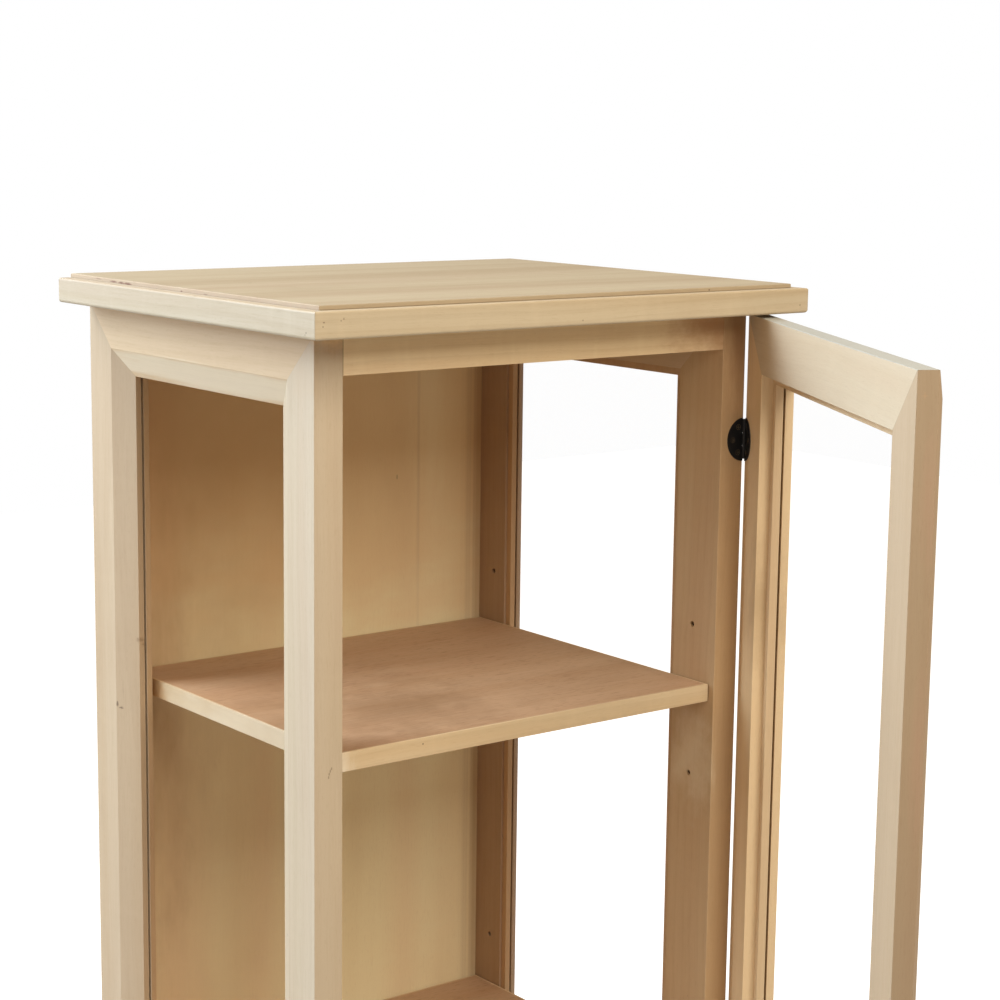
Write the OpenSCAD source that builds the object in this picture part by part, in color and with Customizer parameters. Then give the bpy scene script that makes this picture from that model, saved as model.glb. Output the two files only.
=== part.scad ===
// Tall display cabinet with mitred glazed side frames, a glazed door on half-moon hinges
// and adjustable shelves. Front faces -Y, origin on the floor under the middle of the boards.

/* [Boards] */
// Width of the top and base boards
board_w = 500; // [420:1:700]
// Depth of the top and base boards
board_d = 402; // [340:1:520]
// Height of the edge moulding
edge_h = 21; // [17:0.5:28]
// Width of an edge moulding seen from above
edge_w = 62; // [58:1:80]
// Rounding of the moulding's arris beside the panel
edge_round = 1.6; // [0.5:0.1:3]
// Rounding of the moulding's other outer arris
edge_round_low = 2.6; // [0.5:0.1:4]
// Distance from the board's edge to its thin panel
panel_inset = 10.5; // [8:0.5:14]
// Distance from the board's rear edge to its thin panel
panel_rear = 2; // [1:0.5:6]
// Thickness of the board's thin panel
panel_t = 8.5; // [7:0.5:10]
// How far the panel stands proud of the moulding
panel_proud = 3.5; // [2:0.5:5]
// Shadow gap round the panel
panel_gap = 0.6; // [0.3:0.1:1.2]
// Overhang of the boards at each side
side_overhang = 28.5; // [15:0.5:32]
// Overhang of the boards in front of the posts
front_overhang = 45; // [34:0.5:52]
// Overhang of the boards behind the frames
rear_overhang = 1; // [0.5:0.5:6]

/* [Side frames] */
// Height of the side frames
frame_h = 1451; // [1300:1:1700]
// Thickness of the side frames
frame_t = 26; // [24:0.5:32]
// Flat part of a member's outer face
flat_w = 37.5; // [30:0.5:44]
// Width of the bevel that falls to the glass
bevel_w = 23; // [14:0.5:28]
// Depth of that bevel
bevel_d = 11; // [6:0.5:12]
// Thickness of the lip outside the glass
lip_t = 5; // [3:0.5:6]
// Width of the glass rebate
rebate_w = 6.5; // [5:0.5:9]
// Thickness of the glass
glass_t = 2; // [2:0.5:3]
// Thickness of the side beads
bead_t = 5.5; // [3:0.5:6]
// Rounding of the wooden arrises
soft_r = 0.6; // [0.4:0.1:1.4]

/* [Front rails] */
// Height of the rails between the posts
rail_h = 32.5; // [28:0.5:50]
// Thickness of these rails
rail_t = 20; // [16:1:26]
// Diameter of the dowels in their ends
dowel_d = 8; // [6:0.5:9]
// Length of these dowels
dowel_len = 30; // [24:1:36]

/* [Back] */
// Thickness of the back panel
back_t = 6; // [4:0.5:8]
// Distance from the back panel's face to the frame's rear edge
back_set = 14; // [12:0.5:20]
// How far the back panel reaches into the stiles
back_rebate = 8; // [6:0.5:10]

/* [Shelves] */
// Thickness of a shelf
shelf_t = 15.5; // [12:0.5:20]
// Drop from the top board to the first shelf
shelf_drop = 328.5; // [280:0.5:360]
// Step from one shelf to the next
shelf_step = 374; // [340:1:400]
// Distance from the posts' front face to a shelf
shelf_set = 6.5; // [4:0.5:16]
// Air between a shelf and the stiles
shelf_side_gap = 1; // [0.5:0.1:2]
// Air between a shelf and the back panel
shelf_back_gap = 2; // [1:0.5:6]
// Thickness of the shelf's solid edging
edging_t = 2; // [1:0.5:4]
// Diameter of a shelf pin's hole
pin_d = 5; // [4:0.5:6]
// Length of a shelf pin
pin_len = 18; // [14:1:24]
// Step between pin holes
hole_step = 68; // [50:1:90]
// Distance from the front edge to the front pin holes
pin_front = 30; // [20:1:40]
// Distance from the rear edge to the rear pin holes
pin_rear = 37; // [28:1:44]

/* [Door] */
// Thickness of the door
door_t = 26.5; // [24:0.5:30]
// Width of a door member's inner face
door_face_w = 47.5; // [44:0.5:60]
// Width of the door's glass rebate
door_rebate_w = 8; // [6:0.5:10]
// Width of the bevel round the door's outer face
door_bevel_w = 22.5; // [14:0.5:26]
// Depth of that bevel
door_bevel_d = 10.5; // [6:0.5:12]
// Thickness of the lip outside the door's glass
door_lip_t = 7; // [4:0.5:8]
// Thickness of the door's beads
door_bead_t = 7; // [4:0.5:9]
// Air above and below the door
door_gap = 3; // [2:0.5:6]
// Angle at which the door stands open
door_open = 61; // [0:1:90]

/* [Hinges] */
// Radius of the round hinge leaves
hinge_r = 19; // [18:0.5:24]
// Thickness of a leaf
leaf_t = 0.8; // [0.6:0.05:0.9]
// Air between the posts and the closed door
hinge_gap = 1.9; // [1.8:0.1:2.4]
// How far the hinge line lies outside the side frame
hinge_out = 0.6; // [0.4:0.1:1.2]
// Radius of the hinge barrel
barrel_r = 2; // [1.7:0.1:2.2]
// Radius of the hinge pin
hinge_pin_r = 1; // [0.8:0.1:1.1]
// Distance from the frame's ends to the outer hinges
hinge_end = 112; // [80:1:160]
// Radius of the arc that the hinge screws sit on
screw_arc_r = 13; // [11:0.5:14]
// Angle between neighbouring hinge screws
screw_step = 58; // [45:1:62]
// Length of a hinge screw
screw_len = 14; // [10:1:16]

/* [Knob and catch] */
// Drop from the top board to the knob
knob_drop = 605; // [560:1:640]
// Distance from the door's free edge to the knob
knob_in = 39; // [30:0.5:44]
// Diameter of the knob
knob_d = 28; // [22:1:32]
// Length of the knob
knob_len = 25; // [20:1:32]
// Drop from the top board to the magnetic catch
catch_drop = 650; // [645:1:660]
// Width of the catch
catch_w = 14; // [12:0.5:16]
// Depth of the catch
catch_l = 18; // [14:0.5:24]
// Height of the catch's housing
catch_h = 34; // [28:1:40]
// Thickness of the strike plate
strike_t = 1; // [0.7:0.1:1.2]

/* [Hidden] */

// Colours
wood = "#dcc6a0";
wood_light = "#e4d3b2";
veneer = "#b58f6a";
black_metal = "#181818";
steel = "#a9a9a6";
clear_glass = [0.8, 0.92, 0.9, 0.3];

// Small clearances
fit = 0.05;       // a peg or screw in its hole
joint_gap = 0.1;  // between loose strips of one group
edge_air = 0.5;   // round a pane or panel in its rebate
turn_air = 0.3;   // between parts that turn past each other
seat_air = 0.3;   // between a shelf and its pins
cut = 1;          // how far a cutting solid runs past a face
arc_steps = 4;

// Places of the main faces
board_h = edge_h + panel_proud;
seat_h = board_h - panel_t;
frame_z = board_h;
frame_top = frame_z + frame_h;
body_w = board_w - 2 * side_overhang;
front_y = front_overhang - board_d / 2;
rear_y = board_d / 2 - rear_overhang;
frame_d = rear_y - front_y;
sight_w = flat_w + bevel_w;
inner_w = sight_w - rebate_w;
inside_w = body_w - 2 * frame_t;
back_y = rear_y - back_set;
glass_w0 = bevel_d + lip_t;

// Shelves
shelf_d = back_y - shelf_back_gap - front_y - shelf_set;
shelf_w = inside_w - 2 * shelf_side_gap;
pin_r = pin_d / 2 - fit;
pin_in = pin_len / 2;
function shelf_z(i) = frame_top - shelf_drop - i * shelf_step - shelf_t;
function pin_z(i) = shelf_z(i) - seat_air - pin_r;

// Door in its closed place, and its hinge line
door_w = body_w;
door_h = frame_h - 2 * door_gap;
door_z = frame_z + door_gap;
door_sight = door_face_w + door_rebate_w;
door_y = front_y - hinge_gap - door_t;
axis_x = body_w / 2 + hinge_out;
axis_y = front_y - hinge_gap / 2;
hinge_zs = [frame_top - hinge_end, frame_z + frame_h / 2, frame_z + hinge_end];
barrel_l = 1.8 * hinge_r;
knuckle_l = barrel_l / 3;
pin_head_r = (barrel_r + hinge_pin_r) / 2;
pin_head_t = 0.6;

// Hinge screws
screw_r = 1.3;
screw_head_r = 2.5;
drive_w = 0.6;
drive_l = 3;
drive_t = 0.4;

// Knob, catch and strike
knob_z = frame_top - knob_drop - door_z;
knob_screw_r = 2;
knob_base_r = 7;
catch_z = frame_top - catch_drop;
pole_front = hinge_gap - strike_t - turn_air;
pole_w = 1.4;
magnet_w = 5;
magnet_h = 24;
ear_t = 3;
ear_h = 10;
ear_l = 12;
catch_screw_r = 1.4;
catch_screw_len = 12;
strike_w = 12;
strike_h = 38;
strike_screw_at = 13;

// Rounded outlines

function unit(v) = v / norm(v);

// Points of an arc of radius r that rounds the corner p between the points a and b
function fillet(p, a, b, r) =
    let (u = unit(a - p), v = unit(b - p), half = acos(u * v) / 2)
    let (c = p + unit(u + v) * r / sin(half), s = p + u * r / tan(half), e = p + v * r / tan(half))
    let (a0 = atan2(s.y - c.y, s.x - c.x), a1 = atan2(e.y - c.y, e.x - c.x))
    let (turn = (a1 - a0 + 540) % 360 - 180)
    [for (i = [0 : arc_steps]) c + r * [cos(a0 + turn * i / arc_steps), sin(a0 + turn * i / arc_steps)]];

// The outline pts, with corner i rounded by radii[i]
function soften(pts, radii) =
    let (n = len(pts))
    [for (i = [0 : n - 1])
        each radii[i] == 0 ? [pts[i]] : fillet(pts[i], pts[(i + n - 1) % n], pts[(i + 1) % n], radii[i])];

// A bar along +X whose section is an outline in (distance from its outer edge, depth),
// with both ends mitred at 45 degrees
module mitred_bar(length, width, outline) {
    depth = max([for (p = outline) p.y]);
    intersection() {
        rotate([90, 0, 90]) linear_extrude(length) polygon(outline);
        linear_extrude(depth) polygon([[0, 0], [length, 0], [length - width, width], [width, width]]);
    }
}

// Places for the four bars of a frame of width w and height h that lies in the XY plane
module at_bottom() { children(); }
module at_top(w, h) { translate([w, h, 0]) rotate([0, 0, 180]) children(); }
module at_start(h) { translate([0, h, 0]) rotate([0, 0, -90]) children(); }
module at_end(w) { translate([w, 0, 0]) rotate([0, 0, 90]) children(); }

// Four strips round a rectangle of w by h, each its own solid
module strip_ring(w, h, width, outline) {
    gap = joint_gap / 2;
    at_bottom() strip_piece(w, width, outline, gap);
    at_top(w, h) strip_piece(w, width, outline, gap);
    at_start(h) strip_piece(h, width, outline, gap);
    at_end(w) strip_piece(h, width, outline, gap);
}

module strip_piece(length, width, outline, gap) {
    translate([gap, 0, 0]) mitred_bar(length - 2 * gap, width, outline);
}

// Boards

// Section of the edge moulding: rounded outer arrises and the rebate of the thin panel
edge_outline = soften(
    [[0, 0], [edge_w, 0], [edge_w, seat_h], [panel_inset - panel_gap, seat_h],
     [panel_inset - panel_gap, edge_h], [0, edge_h]],
    [edge_round_low, 0, 0, 0, 0, edge_round]);

// Section of the rear moulding, which lies wholly under the panel
rear_edge_outline = soften(
    [[0, 0], [edge_w, 0], [edge_w, seat_h], [0, seat_h]],
    [edge_round_low, 0, 0, min(edge_round, panel_rear)]);

module edge_bar(length) { mitred_bar(length, edge_w, edge_outline); }

// The top board's place, and the base board's place with the same board upside down
module on_top() { translate([-board_w / 2, -board_d / 2, frame_top]) children(); }
module in_base() { translate([-board_w / 2, -board_d / 2, board_h]) mirror([0, 0, 1]) children(); }

module edge_front() { color(wood_light) at_bottom() edge_bar(board_w); }

// The side mouldings are mitred in front and run through to the rear edge
module edge_left() {
    length = board_d + edge_w;
    color(wood_light)
        intersection() {
            at_start(length) edge_bar(length);
            translate([-cut, -cut, -cut]) cube([edge_w + 2 * cut, board_d + cut, edge_h + 2 * cut]);
        }
}
module edge_right() { translate([board_w, 0, 0]) mirror([1, 0, 0]) edge_left(); }

// The rear moulding fits between the side ones
module edge_back() {
    color(wood_light)
        at_top(board_w - edge_w, board_d)
            rotate([90, 0, 90]) linear_extrude(board_w - 2 * edge_w) polygon(rear_edge_outline);
}

// Section of the thin panel: a plate with its upper arrises chamfered
function panel_outline(width) =
    [[-width / 2, 0], [width / 2, 0], [width / 2, panel_t - soft_r], [width / 2 - soft_r, panel_t],
     [soft_r - width / 2, panel_t], [-width / 2, panel_t - soft_r]];

module thin_panel() {
    size = [board_w - 2 * panel_inset, board_d - panel_inset - panel_rear];
    color(wood)
        translate([board_w / 2, panel_inset + size.y / 2, seat_h])
            intersection() {
                rotate([90, 0, 0]) linear_extrude(size.y, center = true) polygon(panel_outline(size.x));
                rotate([90, 0, 90]) linear_extrude(size.x, center = true) polygon(panel_outline(size.y));
            }
}

module floor_board() {
    color(wood)
        translate([edge_w - board_w / 2, edge_w - board_d / 2, panel_t])
            cube([board_w - 2 * edge_w, board_d - 2 * edge_w, board_h - panel_t]);
}

// Side frames

// Section of a side frame's member: flat face, bevel, lip and glass rebate
side_outline = soften(
    [[0, 0], [flat_w, 0], [sight_w, bevel_d], [sight_w, glass_w0],
     [inner_w, glass_w0], [inner_w, frame_t], [0, frame_t]],
    [soft_r, 0, soft_r / 2, 0, 0, soft_r / 2, soft_r]);

// Section of a bead that fills the rebate, with its inner arris rounded
function bead_outline(width, thick) =
    soften([[0, 0], [width, 0], [width, thick], [0, thick]], [0, 0, soft_r, 0]);

// The left side frame's plane: X runs from the front edge to the rear, Y up, Z inwards
module left_side() {
    translate([-body_w / 2, front_y, frame_z]) rotate([90, 0, 90]) children();
}
module right_side() { mirror([1, 0, 0]) left_side() children(); }

module side_bar(length) { color(wood_light) mitred_bar(length, sight_w, side_outline); }

// Three pin holes for each shelf: its own and one above and below
module pin_holes(at) {
    for (i = [0 : 2], k = [-1 : 1])
        translate([at, pin_z(i) - frame_z + k * hole_step, frame_t - pin_in - fit])
            cylinder(d = pin_d, h = pin_in + fit + cut, $fn = 48);
}

// Holes for the front rails' dowels, which also cross the mitres of the frame's front corners
module side_dowel_holes() {
    for (end = [0, 1], at = [0.25, 0.75]) {
        from_end = rail_h * at;
        translate([rail_t / 2, end == 0 ? from_end : frame_h - from_end, frame_t - dowel_len / 2 - fit])
            cylinder(d = dowel_d + 2 * fit, h = dowel_len / 2 + fit + cut, $fn = 48);
    }
}

module front_stile() {
    difference() {
        at_start(frame_h) side_bar(frame_h);
        pin_holes(pin_front);
        side_dowel_holes();
    }
}

module rear_stile() {
    difference() {
        at_end(frame_d) side_bar(frame_h);
        pin_holes(frame_d - pin_rear);
        back_panel_rebate();
    }
}

module side_top_rail() {
    difference() {
        at_top(frame_d, frame_h) side_bar(frame_d);
        back_panel_rebate();
        side_dowel_holes();
    }
}

module side_bottom_rail() {
    difference() {
        at_bottom() side_bar(frame_d);
        back_panel_rebate();
        side_dowel_holes();
    }
}

// The back panel's rebate runs the whole height, through the ends of the side rails too
module back_panel_rebate() {
    translate([frame_d - back_set, -cut, frame_t - back_rebate])
        cube([back_set + cut, frame_h + 2 * cut, back_rebate + cut]);
}

module side_glass() {
    inset = inner_w + edge_air;
    color(clear_glass)
        translate([inset, inset, glass_w0])
            cube([frame_d - 2 * inset, frame_h - 2 * inset, glass_t]);
}

module side_beads() {
    color(wood)
        translate([inner_w, inner_w, glass_w0 + glass_t])
            strip_ring(frame_d - 2 * inner_w, frame_h - 2 * inner_w, rebate_w, bead_outline(rebate_w, bead_t));
}

// Front rails

module front_rail() {
    difference() {
        cube([inside_w, rail_t, rail_h]);
        for (side = [0, 1], at = [0.25, 0.75])
            translate([side * inside_w, rail_t / 2, rail_h * at])
                rotate([0, side == 0 ? 90 : -90, 0])
                    translate([0, 0, -cut])
                        cylinder(d = dowel_d + 2 * fit, h = dowel_len / 2 + fit + cut, $fn = 48);
    }
}

module front_top_rail() {
    color(wood) translate([-inside_w / 2, front_y, frame_top - rail_h]) front_rail();
}
module front_bottom_rail() {
    color(wood) translate([-inside_w / 2, front_y, frame_z]) front_rail();
}

module rail_dowels() {
    color(wood)
        for (side = [-1, 1], base = [frame_z, frame_top - rail_h], at = [0.25, 0.75])
            translate([side * inside_w / 2 - dowel_len / 2, front_y + rail_t / 2, base + rail_h * at])
                rotate([0, 90, 0]) cylinder(d = dowel_d, h = dowel_len, $fn = 48);
}

// Back

module back_panel() {
    width = inside_w + 2 * back_rebate - 2 * edge_air;
    color(wood) translate([-width / 2, back_y, frame_z]) cube([width, back_t, frame_h]);
}

module back_beads() {
    side = back_set - back_t;
    color(wood) {
        for (s = [-1, 1])
            translate([s * (inside_w + back_rebate) / 2 - back_rebate / 2, back_y + back_t, frame_z])
                cube([back_rebate, side, frame_h]);
        for (z = [frame_z, frame_top - side])
            translate([joint_gap - inside_w / 2, back_y + back_t, z])
                cube([inside_w - 2 * joint_gap, side, side]);
    }
}

// Shelves

module at_shelf(i) { translate([-shelf_w / 2, front_y + shelf_set, shelf_z(i)]) children(); }

module shelf_board(i) {
    color(veneer)
        at_shelf(i)
            translate([edging_t, edging_t, 0])
                cube([shelf_w - 2 * edging_t, shelf_d - 2 * edging_t, shelf_t]);
}

module shelf_edging(i) {
    outline = [[0, 0], [edging_t, 0], [edging_t, shelf_t], [0, shelf_t]];
    round_r = min(soft_r / 2, edging_t / 4);
    color(wood_light)
        at_shelf(i) strip_ring(shelf_w, shelf_d, edging_t, soften(outline, [round_r, 0, 0, round_r]));
}

// Four pins, half in the stiles, each with a chamfered nose
module shelf_pins(i) {
    nose = pin_r / 4;
    color(black_metal)
        for (side = [0, 1], y = [front_y + pin_front, rear_y - pin_rear])
            mirror([side, 0, 0])
                translate([-inside_w / 2 - pin_in, y, pin_z(i)])
                    rotate([0, 90, 0]) {
                        cylinder(r = pin_r, h = pin_len - nose, $fn = 48);
                        translate([0, 0, pin_len - nose])
                            cylinder(r1 = pin_r, r2 = pin_r - nose, h = nose, $fn = 48);
                    }
}

// Door

// Section of a door member: bevel round the outside, lip and deep glass rebate
door_outline = soften(
    [[0, door_bevel_d], [door_bevel_w, 0], [door_sight, 0], [door_sight, door_lip_t],
     [door_face_w, door_lip_t], [door_face_w, door_t], [0, door_t]],
    [soft_r, 0, soft_r / 2, 0, 0, soft_r / 2, soft_r]);

module door_bar(length) { color(wood_light) mitred_bar(length, door_sight, door_outline); }

// Turns what is built in the closed door's place to the door's open place
module as_open() {
    translate([axis_x, axis_y, 0]) rotate([0, 0, door_open]) translate([-axis_x, -axis_y, 0]) children();
}

// The door's plane: X runs from the hinge side to the free side, Y up, Z from the outer face inwards
module in_door() {
    as_open() translate([body_w / 2, door_y, door_z]) rotate([90, 0, 180]) children();
}

// The hinge line in the door's plane
module door_hinge_line() {
    translate([-hinge_out, 0, door_t + hinge_gap / 2]) children();
}

module door_hinge_stile() {
    in_door()
        difference() {
            at_start(door_h) door_bar(door_h);
            door_hinge_line()
                for (z = hinge_zs)
                    translate([0, z - door_z, 0]) {
                        rotate([-90, 0, 0]) barrel_relief();
                        rotate([-90, 0, 0]) mirror([1, 0, 0]) leaf_screw_holes();
                    }
        }
}

module door_free_stile() {
    in_door()
        difference() {
            at_end(door_w) door_bar(door_h);
            translate([door_w - knob_in, knob_z, -cut])
                cylinder(r = knob_screw_r + fit, h = door_t + 2 * cut, $fn = 48);
            for (s = [-1, 1])
                translate([strike_x(), strike_y() + s * strike_screw_at, door_t - catch_screw_len])
                    cylinder(r = catch_screw_r + fit, h = catch_screw_len + cut, $fn = 32);
        }
}

module door_top_rail() { in_door() at_top(door_w, door_h) door_bar(door_w); }
module door_bottom_rail() { in_door() at_bottom() door_bar(door_w); }

module door_glass() {
    inset = door_face_w + edge_air;
    color(clear_glass)
        in_door()
            translate([inset, inset, door_lip_t])
                cube([door_w - 2 * inset, door_h - 2 * inset, glass_t]);
}

module door_beads() {
    color(wood)
        in_door()
            translate([door_face_w, door_face_w, door_lip_t + glass_t])
                strip_ring(door_w - 2 * door_face_w, door_h - 2 * door_face_w, door_rebate_w,
                    bead_outline(door_rebate_w, door_bead_t));
}

// Half-moon hinges, built round the hinge line: the post lies on the -X and +Y side

module knuckle(i, grow) {
    translate([0, 0, -barrel_l / 2 + i * knuckle_l + fit - grow])
        cylinder(r = barrel_r + grow, h = knuckle_l - 2 * fit + 2 * grow, $fn = 48);
}

// Room for the barrel and the pin's head above it
module barrel_relief() {
    translate([0, 0, -barrel_l / 2 - turn_air])
        cylinder(r = barrel_r + turn_air, h = barrel_l + pin_head_t + 2 * turn_air, $fn = 48);
}

// Runs its children at each of a leaf's three screws, Z pointing out of the leaf's face
module at_leaf_screws() {
    for (a = [-screw_step, 0, screw_step])
        translate([-screw_arc_r * cos(a), hinge_gap / 2 - leaf_t, screw_arc_r * sin(a)])
            rotate([90, 0, 0])
                children();
}

module leaf_screw(grow) {
    translate([0, 0, -leaf_t])
        cylinder(r1 = screw_r + grow, r2 = screw_head_r + grow, h = leaf_t, $fn = 32);
    translate([0, 0, -screw_len]) cylinder(r = screw_r + grow, h = screw_len - leaf_t, $fn = 32);
}

module leaf_screw_holes() {
    at_leaf_screws() leaf_screw(fit);
}

module cross_drive() {
    for (turn = [0, 90])
        rotate([0, 0, turn])
            translate([-drive_l / 2, -drive_w / 2, -drive_t])
                cube([drive_l, drive_w, drive_t + cut]);
}

module leaf_screws() {
    at_leaf_screws()
        difference() {
            leaf_screw(0);
            cross_drive();
        }
}

// own and other list the knuckles of this leaf and of its partner
module hinge_leaf(own, other) {
    difference() {
        union() {
            translate([0, hinge_gap / 2, 0])
                rotate([90, 0, 0])
                    linear_extrude(leaf_t)
                        difference() {
                            circle(r = hinge_r, $fn = 128);
                            translate([0, -hinge_r]) square([hinge_r, 2 * hinge_r]);
                        }
            for (i = own) knuckle(i, 0);
        }
        for (i = other) knuckle(i, turn_air);
        cylinder(r = hinge_pin_r + fit, h = 2 * hinge_r, center = true, $fn = 48);
        translate([0, 0, barrel_l / 2]) cylinder(r = pin_head_r + turn_air, h = hinge_r, $fn = 48);
        leaf_screw_holes();
        at_leaf_screws() cylinder(r = screw_head_r + fit, h = cut, $fn = 32);
    }
}

// Height of a hinge on the hinge line, for the post's side and the turned door's side
module on_post(z) { translate([axis_x, axis_y, z]) children(); }
module on_door(z) { as_open() translate([axis_x, axis_y, z]) mirror([0, 1, 0]) children(); }

module post_leaf(i) { color(black_metal) on_post(hinge_zs[i]) hinge_leaf([0, 2], [1]); }
module door_leaf(i) { color(black_metal) on_door(hinge_zs[i]) hinge_leaf([1], [0, 2]); }

module hinge_pins() {
    color(black_metal)
        for (z = hinge_zs)
            on_post(z) {
                cylinder(r = hinge_pin_r, h = barrel_l, center = true, $fn = 48);
                translate([0, 0, barrel_l / 2]) cylinder(r = pin_head_r, h = pin_head_t, $fn = 48);
            }
}

module hinge_post_screws() { color(black_metal) for (z = hinge_zs) on_post(z) leaf_screws(); }
module hinge_door_screws() { color(black_metal) for (z = hinge_zs) on_door(z) leaf_screws(); }

// The right front post carries the hinges
module right_front_stile() {
    difference() {
        right_side() front_stile();
        color(wood_light)
            for (z = hinge_zs)
                on_post(z) {
                    barrel_relief();
                    leaf_screw_holes();
                }
    }
}

// Knob

function knob_profile() =
    let (r = knob_d / 2, l = knob_len, neck = knob_base_r - 1.5)
    let (foot = [[0, 0], [knob_base_r, 0], [knob_base_r, 2]])
    let (waist = [for (a = [0 : 15 : 90]) [neck + (r - neck) * (1 - cos(a)), 2 + (l * 0.55 - 2) * sin(a)]])
    let (crown = [for (a = [0 : 10 : 90]) [r * cos(a), l * 0.6 + l * 0.4 * sin(a)]])
    concat(foot, waist, crown);

module door_knob() {
    color(wood)
        in_door()
            translate([door_w - knob_in, knob_z, 0])
                rotate([180, 0, 0])
                    difference() {
                        rotate_extrude($fn = 96) polygon(knob_profile());
                        translate([0, 0, -cut]) cylinder(r = knob_screw_r + fit, h = knob_len / 2 + cut, $fn = 48);
                    }
}

module knob_screw() {
    head_r = 3.8;
    head_t = 2;
    color(steel)
        in_door()
            translate([door_w - knob_in, knob_z, door_t])
                difference() {
                    union() {
                        cylinder(r1 = head_r, r2 = head_r - 1, h = head_t, $fn = 48);
                        translate([0, 0, 0.5 - door_t - knob_len / 2])
                            cylinder(r = knob_screw_r, h = door_t + knob_len / 2, $fn = 48);
                    }
                    translate([0, 0, head_t]) cross_drive();
                }
}

// Magnetic catch on the left post's inner face: X into the cabinet, Y to the back

module at_catch() { translate([-inside_w / 2, front_y, catch_z]) children(); }

module at_catch_screws() {
    for (s = [-1, 1])
        translate([ear_t, catch_l - ear_l / 2, s * (catch_h + ear_h) / 2])
            rotate([0, 90, 0])
                children();
}

module catch_screw(grow) {
    translate([0, 0, -catch_screw_len]) cylinder(r = catch_screw_r + grow, h = catch_screw_len, $fn = 32);
}

module catch_housing() {
    color("#efece4")
        at_catch()
            difference() {
                union() {
                    translate([0, 0, -catch_h / 2]) cube([catch_w, catch_l, catch_h]);
                    translate([0, catch_l - ear_l, -catch_h / 2 - ear_h]) cube([ear_t, ear_l, catch_h + 2 * ear_h]);
                }
                magnet_block(fit);
                at_catch_screws() catch_screw(fit);
            }
}

// The magnet between its two pole plates, which stand out of the housing
module magnet_block(grow) {
    depth = catch_l - 4;
    width = magnet_w + 2 * pole_w;
    translate([catch_w / 2 - width / 2 - grow, -grow, -magnet_h / 2 - grow])
        cube([width + 2 * grow, depth + 2 * grow, magnet_h + 2 * grow]);
    for (s = [-1, 1])
        translate([catch_w / 2 + s * (magnet_w + pole_w) / 2 - pole_w / 2, -pole_front, -magnet_h / 2])
            cube([pole_w, pole_front + depth, magnet_h]);
}

module catch_magnet() { color(steel) at_catch() magnet_block(0); }

module catch_screws() {
    head_r = 2.8;
    head_t = 1.6;
    color(steel)
        at_catch()
            at_catch_screws()
                difference() {
                    union() {
                        catch_screw(0);
                        cylinder(r1 = head_r, r2 = head_r - 0.8, h = head_t, $fn = 32);
                    }
                    translate([0, 0, head_t]) cross_drive();
                }
}

module left_front_stile() {
    difference() {
        left_side() front_stile();
        color(wood_light) at_catch() at_catch_screws() catch_screw(fit);
    }
}

// Strike plate on the door's inner face, in front of the catch

function strike_x() = door_w - frame_t - catch_w / 2;
function strike_y() = catch_z - door_z;

module strike_plate() {
    corner = 3;
    color(steel)
        in_door()
            translate([strike_x(), strike_y(), door_t])
                difference() {
                    linear_extrude(strike_t)
                        polygon(soften(
                            [[-strike_w / 2, -strike_h / 2], [strike_w / 2, -strike_h / 2],
                             [strike_w / 2, strike_h / 2], [-strike_w / 2, strike_h / 2]],
                            [corner, corner, corner, corner]));
                    for (s = [-1, 1]) translate([0, s * strike_screw_at, strike_t]) strike_screw(fit);
                }
}

module strike_screw(grow) {
    translate([0, 0, -strike_t])
        cylinder(r1 = catch_screw_r + grow, r2 = screw_head_r + grow, h = strike_t, $fn = 32);
    translate([0, 0, -catch_screw_len]) cylinder(r = catch_screw_r + grow, h = catch_screw_len - strike_t, $fn = 32);
}

module strike_screws() {
    color(steel)
        in_door()
            for (s = [-1, 1])
                translate([strike_x(), strike_y() + s * strike_screw_at, door_t + strike_t])
                    difference() {
                        strike_screw(0);
                        cross_drive();
                    }
}

on_top() edge_front();  // top_edge_front
on_top() edge_back();  // top_edge_back
on_top() edge_left();  // top_edge_left
on_top() edge_right();  // top_edge_right
on_top() thin_panel();  // top_panel
in_base() edge_front();  // base_edge_front
in_base() edge_back();  // base_edge_back
in_base() edge_left();  // base_edge_left
in_base() edge_right();  // base_edge_right
in_base() thin_panel();  // base_panel
floor_board();
left_front_stile();
left_side() rear_stile();  // left_rear_stile
left_side() side_top_rail();  // left_top_rail
left_side() side_bottom_rail();  // left_bottom_rail
left_side() side_glass();  // left_glass
left_side() side_beads();  // left_beads
right_front_stile();
right_side() rear_stile();  // right_rear_stile
right_side() side_top_rail();  // right_top_rail
right_side() side_bottom_rail();  // right_bottom_rail
right_side() side_glass();  // right_glass
right_side() side_beads();  // right_beads
front_top_rail();
front_bottom_rail();
rail_dowels();
back_panel();
back_beads();
shelf_board(0);  // shelf_top_board
shelf_board(1);  // shelf_middle_board
shelf_board(2);  // shelf_bottom_board
shelf_edging(0);  // shelf_top_edging
shelf_edging(1);  // shelf_middle_edging
shelf_edging(2);  // shelf_bottom_edging
shelf_pins(0);  // shelf_top_pins
shelf_pins(1);  // shelf_middle_pins
shelf_pins(2);  // shelf_bottom_pins
door_hinge_stile();
door_free_stile();
door_top_rail();
door_bottom_rail();
door_glass();
door_beads();
post_leaf(0);  // hinge_top_post_leaf
post_leaf(1);  // hinge_middle_post_leaf
post_leaf(2);  // hinge_bottom_post_leaf
door_leaf(0);  // hinge_top_door_leaf
door_leaf(1);  // hinge_middle_door_leaf
door_leaf(2);  // hinge_bottom_door_leaf
hinge_pins();
hinge_post_screws();
hinge_door_screws();
door_knob();
knob_screw();
catch_housing();
catch_magnet();
catch_screws();
strike_plate();
strike_screws();
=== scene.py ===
"""Finishes, camera and plain studio for a tall unfinished-wood display cabinet.

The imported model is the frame: every piece keeps its shape and its place. This script gives each
piece a procedural finish that follows its own grain, and sets the camera, the lamps and the floor.
"""

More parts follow.
